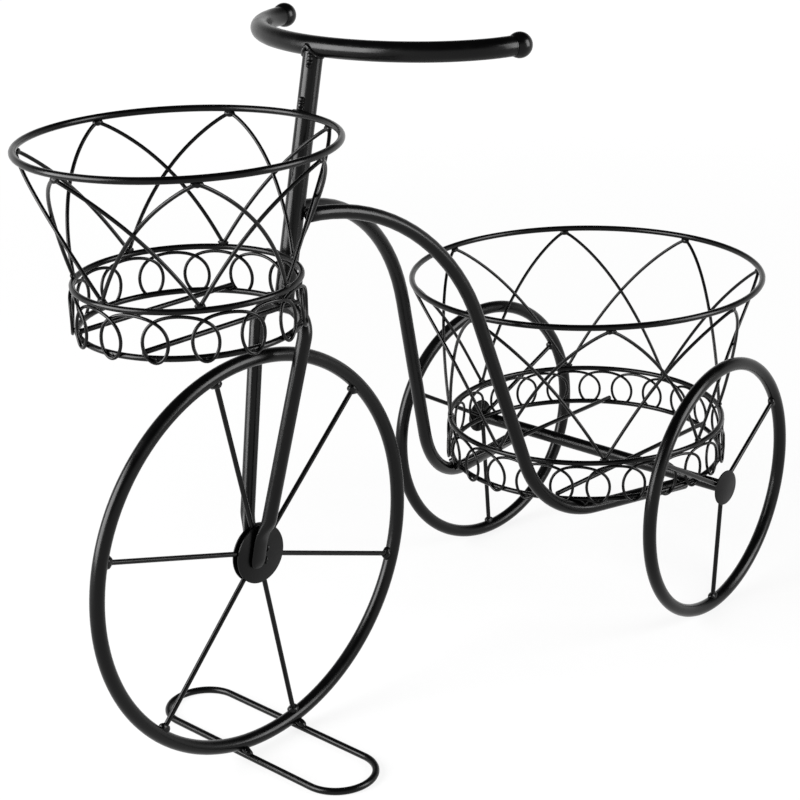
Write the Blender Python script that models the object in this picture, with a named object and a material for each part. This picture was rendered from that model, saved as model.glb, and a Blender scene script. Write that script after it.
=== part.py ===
"""Bicycle planter: a welded tricycle of black tube and wire that carries two open wire baskets.

Metres, +Z up. The front wheel is at -X, the rear axle at +X, and the tricycle's left side is at -Y.
The origin is on the ground, under the middle of the whole planter's length and width.
Places along X are first counted from the front hub, and at() moves them to the origin.
"""
import math

import bmesh
import bpy
from mathutils import Matrix, Vector

# Clearance that welded neighbours keep
JOINT_GAP = 0.0003
MERGE_DISTANCE = JOINT_GAP / 10

# Tube and wire, as diameters
WHEEL_TUBE = 0.012
FORK_TUBE = 0.012
COLUMN_TUBE = 0.016
HANDLEBAR_TUBE = 0.016
RAIL_TUBE = 0.012
AXLE_TUBE = 0.012
FOOT_ROD = 0.006
SPOKE_ROD = 0.004
TOP_RING_WIRE = 0.0055
RING_WIRE = 0.0045
FLOOR_BAR_WIRE = 0.004
LATTICE_WIRE = 0.0028
SCROLL_WIRE = 0.0024

# Foot loop: two crosswise rods joined by half circles, flat on the ground
FOOT_HALF_SPACING = 0.031
FOOT_HALF_STRAIGHT = 0.082

# Front wheel, with radii to the middle of the rim tube
FRONT_WHEEL_RADIUS = 0.165
FRONT_SPOKE_ANGLES = [math.radians(angle) for angle in (43.4, 102.1, 163.3, 226.0, 280.6, 340.3)]
FRONT_HUB_RADIUS = 0.025
FRONT_SPOKE_START = 0.008
HUB_PLATE = 0.0012
HUB_EDGE_ROUND = 0.0003

# Fork and steering column, leaning back along an axis that passes just ahead of the front hub
RAKE = math.radians(13.1)
STEERING_LEAD = 0.0047
CROWN_CLEARANCE = 0.0276
FORK_CROWN_HALF_WIDTH = 0.0295
FORK_BEND_RADIUS = 0.020
FORK_TIP_OVERHANG = 0.011
FORK_PRESSED_LENGTH = 0.032
FORK_PRESSED_THICKNESS = 0.005
FORK_PRESSED_WIDTH = 0.0145
COLUMN_LENGTH = 0.189
COLUMN_COPE = 0.0035

# Handlebar: part of an ellipse in plan, with a ball cap on each end
HANDLEBAR_SEMI_LENGTH = 0.0995
HANDLEBAR_SEMI_WIDTH = 0.1295
HANDLEBAR_REACH = 0.084
CAP_BALL = 0.021
CAP_COLLAR_LENGTH = 0.0015

# Rear axle and wheels
WHEELBASE = 0.447
REAR_WHEEL_RADIUS = 0.118
REAR_HALF_TRACK = 0.142
REAR_TOE = math.radians(4.2)
REAR_CAMBER = math.radians(0.88)
REAR_SPOKES = 3
REAR_SPOKE_PHASE = math.radians(-90)
REAR_HUB_RADIUS = 0.0165
REAR_DISH = 0.0048
REAR_AXLE_RISE = 0.0025

# Frame rails: from the column back to a shoulder, down to a heel, and back under the axle
RAIL_START_RISE = 0.0643
RAIL_START_HALF_WIDTH = 0.0103
RAIL_SHOULDER_REACH = 0.1308
RAIL_SHOULDER_RISE = 0.0025
RAIL_SHOULDER_HALF_WIDTH = 0.0297
RAIL_SHOULDER_RADIUS = 0.1717
RAIL_HEEL_SETBACK = 0.1635
RAIL_HEEL_RISE = 0.0092
RAIL_HEEL_HALF_WIDTH = 0.067
RAIL_HEEL_RADIUS = 0.0861
RAIL_END_HALF_WIDTH = 0.101
RAIL_END_OVERRUN = 0.004
RAIL_END_NOTCH = 0.003

# Front basket, with radii to the middle of each ring's wire and heights above its bottom ring
FRONT_BASKET_FOOT_RISE = 0.0039
FRONT_TOP_RING_RADIUS = 0.1198
FRONT_TOP_RING_HEIGHT = 0.139
FRONT_BAND_RING_RADIUS = 0.0858
FRONT_BAND_RING_HEIGHT = 0.0355
FRONT_FLOOR_BAR_OFFSET = 0.0375
FRONT_PEAKS = 7
FRONT_PEAK_PHASE = math.radians(29.5)
FRONT_LATTICE_BOW = 0.006
FRONT_LOOPS = 15
FRONT_LOOP_PHASE = math.radians(-99.1)

# Rear basket, measured the same way
REAR_BASKET_SETBACK = 0.018
REAR_TOP_RING_RADIUS = 0.1632
REAR_TOP_RING_HEIGHT = 0.1745
REAR_BAND_RING_RADIUS = 0.130
REAR_BAND_RING_HEIGHT = 0.0355
REAR_BOTTOM_RING_RADIUS = 0.129
REAR_FLOOR_BAR_OFFSET = 0.0585
REAR_PEAKS = 8
REAR_PEAK_PHASE = math.radians(0.7)
REAR_LATTICE_BOW = 0.009
REAR_LOOPS = 25
REAR_LOOP_PHASE = math.radians(-122.4)

# Shape of the lattice and of the scroll band
LATTICE_STRAIGHT_SHARE = 0.65
LATTICE_ROUND_SHARE = 0.03
SCROLL_SWING = 0.018
SCROLL_FLAT_SHARE = 0.1
SCROLL_DROP = 0.0022
FLOOR_BAR_END_LAP = 0.001

# Where the fork's flattening is stepped, as shares of the pressed length
PRESS_STEP_SHARES = (0.2, 0.4, 0.6, 0.8, 1.0)

# How finely the round shapes are stepped
FRONT_RIM_STEPS = 60
REAR_RIM_STEPS = 42
FRONT_RING_STEPS = 40
REAR_RING_STEPS = 48
HUB_STEPS = 28
BEND_STEPS = 10
HANDLEBAR_STEPS = 28
LEG_STEPS = 7
LOOP_STEPS = 13
TUBE_SIDES = 8
WIDE_TUBE_SIDES = 12
WIRE_SIDES = 6
SCROLL_SIDES = 4
SHARP_ANGLE = math.radians(50)
HALVINGS = 40

# Heights and places that follow from the sizes above, along X from the front hub
FOOT_Z = FOOT_ROD / 2
FOOT_TO_HUB = FRONT_WHEEL_RADIUS + WHEEL_TUBE / 2 + FOOT_ROD / 2 + JOINT_GAP
FRONT_HUB_Z = FOOT_Z + math.sqrt(FOOT_TO_HUB ** 2 - FOOT_HALF_SPACING ** 2)
CROWN_RUN = FRONT_WHEEL_RADIUS + WHEEL_TUBE / 2 + CROWN_CLEARANCE + FORK_TUBE / 2
COLUMN_FOOT_RUN = CROWN_RUN + FORK_TUBE / 2 + JOINT_GAP
HANDLEBAR_RUN = COLUMN_FOOT_RUN + COLUMN_LENGTH + JOINT_GAP + HANDLEBAR_TUBE / 2
HUB_PLATE_INNER = SPOKE_ROD / 2 + JOINT_GAP
HUB_PLATE_OUTER = HUB_PLATE_INNER + HUB_PLATE

AXLE_X = WHEELBASE
REAR_RIM_Z = REAR_WHEEL_RADIUS * math.cos(REAR_CAMBER) + WHEEL_TUBE / 2
AXLE_Z = REAR_RIM_Z + REAR_AXLE_RISE
REAR_SPOKE_END = REAR_WHEEL_RADIUS - WHEEL_TUBE / 2 - JOINT_GAP
REAR_SPOKE_LEAN = math.sin(REAR_TOE) + math.sin(REAR_CAMBER) - REAR_DISH / REAR_SPOKE_END
REAR_HUB_Y = REAR_HALF_TRACK + REAR_DISH
REAR_PLATE_INNER = REAR_HUB_Y + SPOKE_ROD / 2 + JOINT_GAP + REAR_HUB_RADIUS * REAR_SPOKE_LEAN
AXLE_ENDS = [Vector((AXLE_X, side * (REAR_PLATE_INNER - JOINT_GAP), AXLE_Z)) for side in (-1, 1)]


def on_column(run, ahead=0.0, side=0.0):
    """A point beside the raked steering axis: run up it from the hub, ahead of it, and to one side."""
    forward = STEERING_LEAD + ahead
    x = run * math.sin(RAKE) - forward * math.cos(RAKE)
    z = FRONT_HUB_Z + run * math.cos(RAKE) + forward * math.sin(RAKE)
    return Vector((x, side, z))


def column_x(z):
    """Where the steering axis is along X at a height."""
    return (z - FRONT_HUB_Z) * math.tan(RAKE) - STEERING_LEAD / math.cos(RAKE)


def column_front(z):
    """Where the column's front side is along X at a height."""
    return column_x(z) - COLUMN_TUBE / 2 / math.cos(RAKE)


COLUMN_FOOT_Z = on_column(COLUMN_FOOT_RUN).z

# A scroll wire lies this far out from its bottom ring, and as far below its band ring
SCROLL_STANDOFF = RING_WIRE / 2 + JOINT_GAP + SCROLL_WIRE / 2

# Front basket: its top ring and the scroll on its bottom ring both touch the column
FRONT_BOTTOM_Z = COLUMN_FOOT_Z + FRONT_BASKET_FOOT_RISE
FRONT_TOP_Z = FRONT_BOTTOM_Z + FRONT_TOP_RING_HEIGHT
FRONT_TOP_REACH = FRONT_TOP_RING_RADIUS + TOP_RING_WIRE / 2
FRONT_BASKET_X = column_front(FRONT_TOP_Z) - JOINT_GAP - FRONT_TOP_REACH
FRONT_LOOP_FOOT_Z = FRONT_BOTTOM_Z - SCROLL_DROP
FRONT_LOOP_REACH = column_front(FRONT_LOOP_FOOT_Z - SCROLL_WIRE / 2) - JOINT_GAP - FRONT_BASKET_X
FRONT_BOTTOM_RING_RADIUS = FRONT_LOOP_REACH - SCROLL_WIRE / 2 - SCROLL_STANDOFF

# Rear basket: its bottom ring lies on the axle
REAR_BASKET_X = AXLE_X - REAR_BASKET_SETBACK
REAR_BOTTOM_Z = AXLE_Z + AXLE_TUBE / 2 + JOINT_GAP + RING_WIRE / 2

# The middle of the planter's length, which is the origin's place
FRONT_REACH = max(FRONT_TOP_REACH - FRONT_BASKET_X, FRONT_WHEEL_RADIUS + WHEEL_TUBE / 2)
REAR_BASKET_REACH = REAR_BASKET_X + REAR_TOP_RING_RADIUS + TOP_RING_WIRE / 2
REAR_WHEEL_REACH = AXLE_X + REAR_WHEEL_RADIUS * math.cos(REAR_TOE) + WHEEL_TUBE / 2
MIDDLE_X = (max(REAR_BASKET_REACH, REAR_WHEEL_REACH) - FRONT_REACH) / 2

BLACK = (0.012, 0.012, 0.013)
PLATE_BLACK = (0.03, 0.03, 0.032)
COAT_ROUGHNESS = 0.28
PLATE_ROUGHNESS = 0.4


def clear_scene():
    for thing in list(bpy.data.objects):
        bpy.data.objects.remove(thing, do_unlink=True)


def at(place):
    """A place counted from the front hub, moved to the planter's own origin."""
    return Vector(place) - Vector((MIDDLE_X, 0, 0))


def finish(thing, colour=BLACK, roughness=COAT_ROUGHNESS):
    """Gives a piece its own powder-coat material."""
    material = bpy.data.materials.new(thing.name + "_coat")
    material.use_nodes = True
    shader = material.node_tree.nodes["Principled BSDF"]
    shader.inputs["Base Color"].default_value = (*colour, 1)
    shader.inputs["Roughness"].default_value = roughness
    shader.inputs["Metallic"].default_value = 0
    material.diffuse_color = (*colour, 1)
    thing.data.materials.clear()
    thing.data.materials.append(material)
    return thing


def link_mesh(name, mesh):
    """A named object for a mesh, shaded smooth except over its sharp edges."""
    thing = bpy.data.objects.new(name, mesh)
    bpy.context.collection.objects.link(thing)
    mesh.shade_smooth()
    mesh.set_sharp_from_angle(angle=SHARP_ANGLE)
    return thing


def tube(name, points, diameter, sides=TUBE_SIDES, closed=False, flats_out=False):
    """A round tube or wire along points; flats_out puts flat sides, not edges, at the full radius."""
    curve = bpy.data.curves.new(name, 'CURVE')
    curve.dimensions = '3D'
    curve.fill_mode = 'FULL'
    curve.bevel_depth = diameter / 2
    if flats_out:
        curve.bevel_depth /= math.cos(math.pi / sides)
    curve.bevel_resolution = (sides - 4) // 2
    curve.use_fill_caps = not closed
    spline = curve.splines.new('POLY')
    spline.points.add(len(points) - 1)
    for knot, place in zip(spline.points, points):
        knot.co = (*at(place), 1)
        knot.tilt = math.pi / sides if flats_out else 0
    spline.use_cyclic_u = closed
    spline.use_smooth = True
    thing = bpy.data.objects.new(name, curve)
    bpy.context.collection.objects.link(thing)
    return thing


def as_mesh(thing):
    """The same piece as a mesh object with its caps sewn on, so that it can be pressed or cut."""
    name = thing.name
    mesh = bpy.data.meshes.new_from_object(thing)
    bpy.data.objects.remove(thing, do_unlink=True)
    shape = bmesh.new()
    shape.from_mesh(mesh)
    bmesh.ops.remove_doubles(shape, verts=shape.verts, dist=MERGE_DISTANCE)
    shape.to_mesh(mesh)
    shape.free()
    return link_mesh(name, mesh)


def cut(thing, cutter):
    """Cuts one piece by a guide that stays out of the finished part."""
    cutter.hide_render = True
    cutter.display_type = 'WIRE'
    trim = thing.modifiers.new("Coped end", 'BOOLEAN')
    trim.operation = 'DIFFERENCE'
    trim.solver = 'EXACT'
    trim.object = cutter


def ring(name, centre, radius, wire, steps, sides=WIRE_SIDES, turn=(0, 0, 0)):
    """A closed ring of round wire."""
    bpy.ops.mesh.primitive_torus_add(major_segments=steps, minor_segments=sides, major_radius=radius,
                                     minor_radius=wire / 2, location=at(centre), rotation=turn)
    thing = bpy.context.object
    thing.name = name
    thing.data.shade_smooth()
    return thing


def plate(name, centre, radius, turn):
    """A round hub plate with slightly rounded rims, its axis along Y before any turn."""
    shape = bmesh.new()
    bmesh.ops.create_cone(shape, cap_ends=True, segments=HUB_STEPS, radius1=radius, radius2=radius,
                          depth=HUB_PLATE, matrix=Matrix.Rotation(math.pi / 2, 4, 'X'))
    rims = [edge for edge in shape.edges if abs(edge.verts[0].co.y - edge.verts[1].co.y) < JOINT_GAP]
    bmesh.ops.bevel(shape, geom=rims, offset=HUB_EDGE_ROUND, segments=1, affect='EDGES')
    mesh = bpy.data.meshes.new(name)
    shape.to_mesh(mesh)
    shape.free()
    thing = link_mesh(name, mesh)
    thing.location = at(centre)
    thing.rotation_euler = turn
    return thing


def filleted(corners, radii):
    """A path through corners, with a round bend at each inner corner, no longer than its sides allow."""
    path = [corners[0]]
    for before, corner, after, radius in zip(corners, corners[1:], corners[2:], radii):
        come = (before - corner).normalized()
        go = (after - corner).normalized()
        half = come.angle(go) / 2
        reach = min(radius / math.tan(half), (before - corner).length, (after - corner).length)
        middle = corner + (come + go).normalized() * reach / math.cos(half)
        start = corner + come * reach - middle
        turn = math.pi - 2 * half
        axis = start.cross(corner - middle).normalized()
        for step in range(BEND_STEPS + 1):
            path.append(middle + Matrix.Rotation(turn * step / BEND_STEPS, 3, axis) @ start)
    path.append(corners[-1])
    kept = [place for place, following in zip(path, path[1:]) if (following - place).length > JOINT_GAP]
    return kept + [path[-1]]


def build_foot_loop():
    """Two crosswise rods and two half circles, bent from one rod and closed by a weld."""
    path = []
    for side in (1, -1):
        for step in range(BEND_STEPS + 1):
            angle = math.pi * step / BEND_STEPS + (0 if side > 0 else math.pi)
            x = FOOT_HALF_SPACING * math.cos(angle)
            y = side * FOOT_HALF_STRAIGHT + FOOT_HALF_SPACING * math.sin(angle)
            path.append(Vector((x, y, FOOT_Z)))
    finish(tube("foot_loop", path, FOOT_ROD, closed=True, flats_out=True))


def rim(name, centre, stance, radius, phase, steps):
    """A wheel's rim, its axis along Y before the wheel's stance turns it."""
    turn = stance @ Matrix.Rotation(-phase, 3, 'Y') @ Matrix.Rotation(math.pi / 2, 3, 'X')
    finish(ring(name, centre, radius, WHEEL_TUBE, steps, TUBE_SIDES, turn.to_euler()))


def spoke(name, hub, start, centre, stance, angle, end):
    """A spoke that starts a little way from the hub and ends on the rim's inner side.

    The angle runs in the rim's plane, from the wheel's rear towards its top.
    """
    tip = centre + stance @ Vector((math.cos(angle), 0, math.sin(angle))) * end
    root = hub + (tip - hub).normalized() * start
    finish(tube(name, [root, tip], SPOKE_ROD, sides=WIRE_SIDES))


def build_front_wheel():
    """The rim, six spokes, and the two plates that clasp the spokes' inner ends."""
    hub = Vector((0, 0, FRONT_HUB_Z))
    upright = Matrix.Identity(3)
    rim("front_wheel_rim", hub, upright, FRONT_WHEEL_RADIUS, FRONT_SPOKE_ANGLES[0], FRONT_RIM_STEPS)
    spoke_end = FRONT_WHEEL_RADIUS - WHEEL_TUBE / 2 - JOINT_GAP
    for number, angle in enumerate(FRONT_SPOKE_ANGLES, 1):
        spoke(f"front_wheel_spoke_{number}", hub, FRONT_SPOKE_START, hub, upright, angle, spoke_end)
    for name, side in (("left", -1), ("right", 1)):
        centre = hub + Vector((0, side * (HUB_PLATE_INNER + HUB_PLATE / 2), 0))
        finish(plate(f"front_hub_plate_{name}", centre, FRONT_HUB_RADIUS, (0, 0, 0)),
               PLATE_BLACK, PLATE_ROUGHNESS)


def fork_path():
    """The fork's middle line, from its left tip over the crown to its right tip."""
    hub_half_width = HUB_PLATE_OUTER + JOINT_GAP + FORK_TUBE / 2
    corners = [
        on_column(-FORK_TIP_OVERHANG, side=-hub_half_width),
        on_column(0, side=-hub_half_width),
        on_column(CROWN_RUN, side=-FORK_CROWN_HALF_WIDTH),
        on_column(CROWN_RUN, side=FORK_CROWN_HALF_WIDTH),
        on_column(0, side=hub_half_width),
        on_column(-FORK_TIP_OVERHANG, side=hub_half_width),
    ]
    arch = filleted(corners[1:5], [FORK_BEND_RADIUS, FORK_BEND_RADIUS])
    press_marks = []
    for share in PRESS_STEP_SHARES:
        press_marks.append(on_column(FORK_PRESSED_LENGTH * share))
    left = [with_side(mark, arch[0], arch[1]) for mark in press_marks]
    right = [with_side(mark, arch[-1], arch[-2]) for mark in reversed(press_marks)]
    return [corners[0], arch[0]] + left + arch[1:-1] + right + [arch[-1], corners[-1]]


def with_side(mark, low, high):
    """A mark on the steering axis moved out onto the straight leg that runs from low to high."""
    share = (mark.z - low.z) / (high.z - low.z)
    return low.lerp(high, share)


def press_tips(mesh):
    """Flattens the fork's lower ends against the hub plates, as a press does before welding."""
    inner_face = HUB_PLATE_OUTER + JOINT_GAP
    forward = Vector((math.cos(RAKE), 0, -math.sin(RAKE)))
    upward = Vector((math.sin(RAKE), 0, math.cos(RAKE)))
    hub = at(on_column(0))
    for vertex in mesh.vertices:
        offset = vertex.co - hub
        run = offset.dot(upward)
        share = min(max((FORK_PRESSED_LENGTH - run) / (FORK_PRESSED_LENGTH - FORK_TIP_OVERHANG), 0), 1)
        pressed = share * share * (3 - 2 * share)
        thin = 1 + (FORK_PRESSED_THICKNESS / FORK_TUBE - 1) * pressed
        wide = 1 + (FORK_PRESSED_WIDTH / FORK_TUBE - 1) * pressed
        across = offset.dot(forward)
        side = math.copysign(1, vertex.co.y)
        vertex.co.y = side * (inner_face + (abs(vertex.co.y) - inner_face) * thin)
        vertex.co += forward * across * (wide - 1)


def build_fork():
    fork = as_mesh(tube("fork", fork_path(), FORK_TUBE))
    press_tips(fork.data)
    finish(fork)


def build_column():
    """The steering column, coped over the fork's crown and under the handlebar."""
    low = on_column(COLUMN_FOOT_RUN - COLUMN_COPE)
    high = on_column(COLUMN_FOOT_RUN + COLUMN_LENGTH + COLUMN_COPE)
    column = as_mesh(tube("steering_column", [low, high], COLUMN_TUBE, WIDE_TUBE_SIDES, flats_out=True))
    crown = as_mesh(tube("crown_cutter", fork_path(), FORK_TUBE + 2 * JOINT_GAP))
    bar = as_mesh(tube("handlebar_cutter", handlebar_path(), HANDLEBAR_TUBE + 2 * JOINT_GAP,
                       WIDE_TUBE_SIDES))
    cut(column, crown)
    cut(column, bar)
    finish(column)


def handlebar_place(angle):
    """A point on the handlebar's middle line, at an angle round its ellipse from the column."""
    middle = on_column(HANDLEBAR_RUN)
    x = HANDLEBAR_SEMI_LENGTH * (1 - math.cos(angle))
    y = HANDLEBAR_SEMI_WIDTH * math.sin(angle)
    return middle + Vector((x, y, 0))


def handlebar_path():
    end = math.acos(1 - HANDLEBAR_REACH / HANDLEBAR_SEMI_LENGTH)
    path = []
    for step in range(HANDLEBAR_STEPS + 1):
        path.append(handlebar_place(end * (2 * step / HANDLEBAR_STEPS - 1)))
    return path


def build_handlebar():
    """The bent tube and the ball cap that closes each of its ends."""
    path = handlebar_path()
    finish(tube("handlebar", path, HANDLEBAR_TUBE, WIDE_TUBE_SIDES))
    for name, tip, inner in (("left", path[0], path[1]), ("right", path[-1], path[-2])):
        outward = (tip - inner).normalized()
        build_cap(f"handlebar_cap_{name}", tip, outward)


def build_cap(name, tip, outward):
    """A ball with a short collar, turned about its own axis and set against the tube's end."""
    collar = HANDLEBAR_TUBE / 2
    ball = CAP_BALL / 2
    drop = math.sqrt(ball ** 2 - collar ** 2)
    start = JOINT_GAP + CAP_COLLAR_LENGTH
    centre = start + drop
    widest = math.pi - math.asin(collar / ball)
    outline = [(0, JOINT_GAP), (collar, JOINT_GAP)]
    for step in range(BEND_STEPS + 1):
        angle = widest * (1 - step / BEND_STEPS)
        outline.append((ball * math.sin(angle), centre + ball * math.cos(angle)))
    shape = bmesh.new()
    dots = [shape.verts.new((radius, 0, height)) for radius, height in outline]
    edges = [shape.edges.new(pair) for pair in zip(dots, dots[1:])]
    bmesh.ops.spin(shape, geom=dots + edges, cent=(0, 0, 0), axis=(0, 0, 1), angle=2 * math.pi,
                   steps=WIDE_TUBE_SIDES, use_merge=True)
    bmesh.ops.remove_doubles(shape, verts=shape.verts, dist=MERGE_DISTANCE)
    bmesh.ops.recalc_face_normals(shape, faces=shape.faces)
    mesh = bpy.data.meshes.new(name)
    shape.to_mesh(mesh)
    shape.free()
    cap = link_mesh(name, mesh)
    cap.location = at(tip)
    cap.rotation_mode = 'QUATERNION'
    cap.rotation_quaternion = Vector((0, 0, 1)).rotation_difference(outward)
    finish(cap)


def build_rails():
    """The pair of bent rails, coped against the column and notched under the axle."""
    start_z = COLUMN_FOOT_Z + RAIL_START_RISE
    start_x = column_x(start_z)
    end_z = AXLE_Z - AXLE_TUBE / 2 - RAIL_TUBE / 2 + RAIL_END_NOTCH
    guide_low = on_column(COLUMN_FOOT_RUN)
    guide_high = on_column(HANDLEBAR_RUN)
    guide = as_mesh(tube("column_cutter", [guide_low, guide_high], COLUMN_TUBE + 2 * JOINT_GAP,
                         WIDE_TUBE_SIDES, flats_out=True))
    axle_guide = as_mesh(tube("axle_cutter", AXLE_ENDS, AXLE_TUBE + 2 * JOINT_GAP, WIDE_TUBE_SIDES,
                              flats_out=True))
    for name, side in (("left", -1), ("right", 1)):
        start = Vector((start_x, side * RAIL_START_HALF_WIDTH, start_z))
        shoulder = Vector((start_x + RAIL_SHOULDER_REACH, side * RAIL_SHOULDER_HALF_WIDTH,
                           start_z + RAIL_SHOULDER_RISE))
        heel = Vector((AXLE_X - RAIL_HEEL_SETBACK, side * RAIL_HEEL_HALF_WIDTH, end_z + RAIL_HEEL_RISE))
        under_axle = Vector((AXLE_X, side * RAIL_END_HALF_WIDTH, end_z))
        end = under_axle + (under_axle - heel).normalized() * RAIL_END_OVERRUN
        path = filleted([start, shoulder, heel, end], [RAIL_SHOULDER_RADIUS, RAIL_HEEL_RADIUS])
        rail = as_mesh(tube(f"frame_rail_{name}", path, RAIL_TUBE))
        cut(rail, guide)
        cut(rail, axle_guide)
        finish(rail)


def build_rear_wheels():
    """The axle, and at each end a hub plate, three spokes and a rim."""
    finish(tube("rear_axle", AXLE_ENDS, AXLE_TUBE, WIDE_TUBE_SIDES))
    spoke_start = AXLE_TUBE / 2 + JOINT_GAP
    for name, side in (("left", -1), ("right", 1)):
        stance = Matrix.Rotation(-side * REAR_TOE, 3, 'Z') @ Matrix.Rotation(-side * REAR_CAMBER, 3, 'X')
        centre = Vector((AXLE_X, side * REAR_HALF_TRACK, REAR_RIM_Z))
        hub = Vector((AXLE_X, side * REAR_HUB_Y, AXLE_Z))
        rim(f"rear_wheel_rim_{name}", centre, stance, REAR_WHEEL_RADIUS, REAR_SPOKE_PHASE, REAR_RIM_STEPS)
        for number in range(REAR_SPOKES):
            angle = REAR_SPOKE_PHASE + 2 * math.pi * number / REAR_SPOKES
            spoke(f"rear_wheel_spoke_{name}_{number + 1}", hub, spoke_start, centre, stance, angle,
                  REAR_SPOKE_END)
        plate_centre = Vector((AXLE_X, side * (REAR_PLATE_INNER + HUB_PLATE / 2), AXLE_Z))
        finish(plate(f"rear_hub_plate_{name}", plate_centre, REAR_HUB_RADIUS, (0, 0, 0)),
               PLATE_BLACK, PLATE_ROUGHNESS)


def around(centre_x, radius, angle, z):
    """A point on a circle about a basket's axis."""
    return Vector((centre_x + radius * math.cos(angle), radius * math.sin(angle), z))


def lattice_leg(centre_x, top, band, bow, peak_angle, pitch, hand):
    """One leg of the lattice, from a peak under the top ring to a foot on the band ring.

    top and band are (radius, height) of the wire's middle there. A leg turns towards larger angles
    when hand is 1. All legs bow inwards, and those of the two hands cross half way down, one outside
    the other.
    """
    clear = (LATTICE_WIRE + JOINT_GAP) / 2
    leg = []
    for step in range(LEG_STEPS):
        share = step / LEG_STEPS
        soft = math.hypot(share, LATTICE_ROUND_SHARE) - LATTICE_ROUND_SHARE
        drop = LATTICE_STRAIGHT_SHARE * soft + (1 - LATTICE_STRAIGHT_SHARE) * share ** 2
        outward = (hand * clear - bow) * math.sin(math.pi * share)
        radius = top[0] + (band[0] - top[0]) * drop + outward
        z = top[1] + (band[1] - top[1]) * drop
        leg.append(around(centre_x, radius, peak_angle + hand * pitch * share, z))
    return leg


def lattice_wire(centre_x, top, band, bow, first_angle, pitch, legs):
    """A closed zigzag wire: down one leg, up the next, and so on round the basket."""
    path = []
    for number in range(legs):
        if number % 2 == 0:
            peak = first_angle + pitch * number
            path += lattice_leg(centre_x, top, band, bow, peak, pitch, 1)
        else:
            peak = first_angle + pitch * (number + 1)
            rising = lattice_leg(centre_x, top, band, bow, peak, pitch, -1)
            foot = around(centre_x, band[0], peak - pitch, band[1])
            path += [foot] + rising[:0:-1]
    return path


def scroll_wire(centre_x, band_radius, band_z, bottom_radius, bottom_z, loops, phase):
    """A closed wire of hanging loops joined by flat arcs, under the band ring and over the bottom one.

    The wire swings to and fro as it goes round, so that it runs backwards along each loop's foot,
    which hangs a little below the bottom ring's middle.
    Where a loop crosses itself, the part that comes first passes outside the part that follows.
    """
    top_z = band_z - SCROLL_STANDOFF
    foot_z = bottom_z - SCROLL_DROP
    half_height = (top_z - foot_z) / 2
    middle_z = top_z - half_height * (1 - SCROLL_FLAT_SHARE)
    foot_radius = bottom_radius + SCROLL_STANDOFF
    steady = foot_radius / loops
    crossing = crossing_turn(steady)
    clear = (SCROLL_WIRE + JOINT_GAP) / 2
    bulge = clear / (math.sin(crossing) * ((1 + math.cos(crossing)) / 2) ** 2)
    path = []
    for number in range(loops * LOOP_STEPS):
        turn = 2 * math.pi * number / LOOP_STEPS
        along = steady * (turn - math.pi) + SCROLL_SWING * math.sin(turn)
        raised = ((1 + math.cos(turn)) / 2) ** 2
        radius = foot_radius + (band_radius - foot_radius) * raised
        radius += bulge * math.sin(turn) * raised
        z = middle_z + half_height * (math.cos(turn) - SCROLL_FLAT_SHARE * math.cos(2 * turn))
        path.append(around(centre_x, radius, phase + along / foot_radius, z))
    return path


def crossing_turn(steady):
    """How far through its swing a loop's wire crosses itself, found by halving the interval."""
    low = math.acos(min(1, steady / SCROLL_SWING)) / 4
    high = math.pi / 2
    for _ in range(HALVINGS):
        middle = (low + high) / 2
        if steady * (middle - math.pi) + SCROLL_SWING * math.sin(middle) < 0:
            low = middle
        else:
            high = middle
    return high


def build_basket(name, centre_x, radii, heights, peaks, loops, bar_offset, steps):
    """One wire basket: three rings, the lattice, the scroll band and two floor bars.

    radii and heights are those of the top, band and bottom rings. peaks is (count, phase, inward
    bow of the legs) and loops is (count, phase).
    """
    top_radius, band_radius, bottom_radius = radii
    top_z, band_z, bottom_z = heights
    rings = (("top_ring", top_radius, top_z, TOP_RING_WIRE),
             ("band_ring", band_radius, band_z, RING_WIRE),
             ("bottom_ring", bottom_radius, bottom_z, RING_WIRE))
    for part, radius, z, wire in rings:
        finish(ring(f"{name}_{part}", (centre_x, 0, z), radius, wire, steps))

    count, phase, bow = peaks
    pitch = 2 * math.pi / count
    top = (top_radius, top_z - (TOP_RING_WIRE + LATTICE_WIRE) / 2 - JOINT_GAP)
    band = (band_radius, band_z + (RING_WIRE + LATTICE_WIRE) / 2 + JOINT_GAP)
    if count % 2:
        path = lattice_wire(centre_x, top, band, bow, phase, pitch, 2 * count)
        finish(tube(f"{name}_lattice", path, LATTICE_WIRE, WIRE_SIDES, closed=True))
    else:
        for number in (0, 1):
            path = lattice_wire(centre_x, top, band, bow, phase + pitch * number, pitch, count)
            finish(tube(f"{name}_lattice_{number + 1}", path, LATTICE_WIRE, WIRE_SIDES, closed=True))

    path = scroll_wire(centre_x, band_radius, band_z, bottom_radius, bottom_z, *loops)
    finish(tube(f"{name}_scroll_band", path, SCROLL_WIRE, SCROLL_SIDES, closed=True))

    bar_z = bottom_z + (RING_WIRE + FLOOR_BAR_WIRE) / 2 + JOINT_GAP
    half_length = math.sqrt(bottom_radius ** 2 - bar_offset ** 2) + FLOOR_BAR_END_LAP
    for number, y in ((1, -bar_offset), (2, bar_offset)):
        ends = [Vector((centre_x + way * half_length, y, bar_z)) for way in (-1, 1)]
        finish(tube(f"{name}_floor_bar_{number}", ends, FLOOR_BAR_WIRE, flats_out=True))


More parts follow.
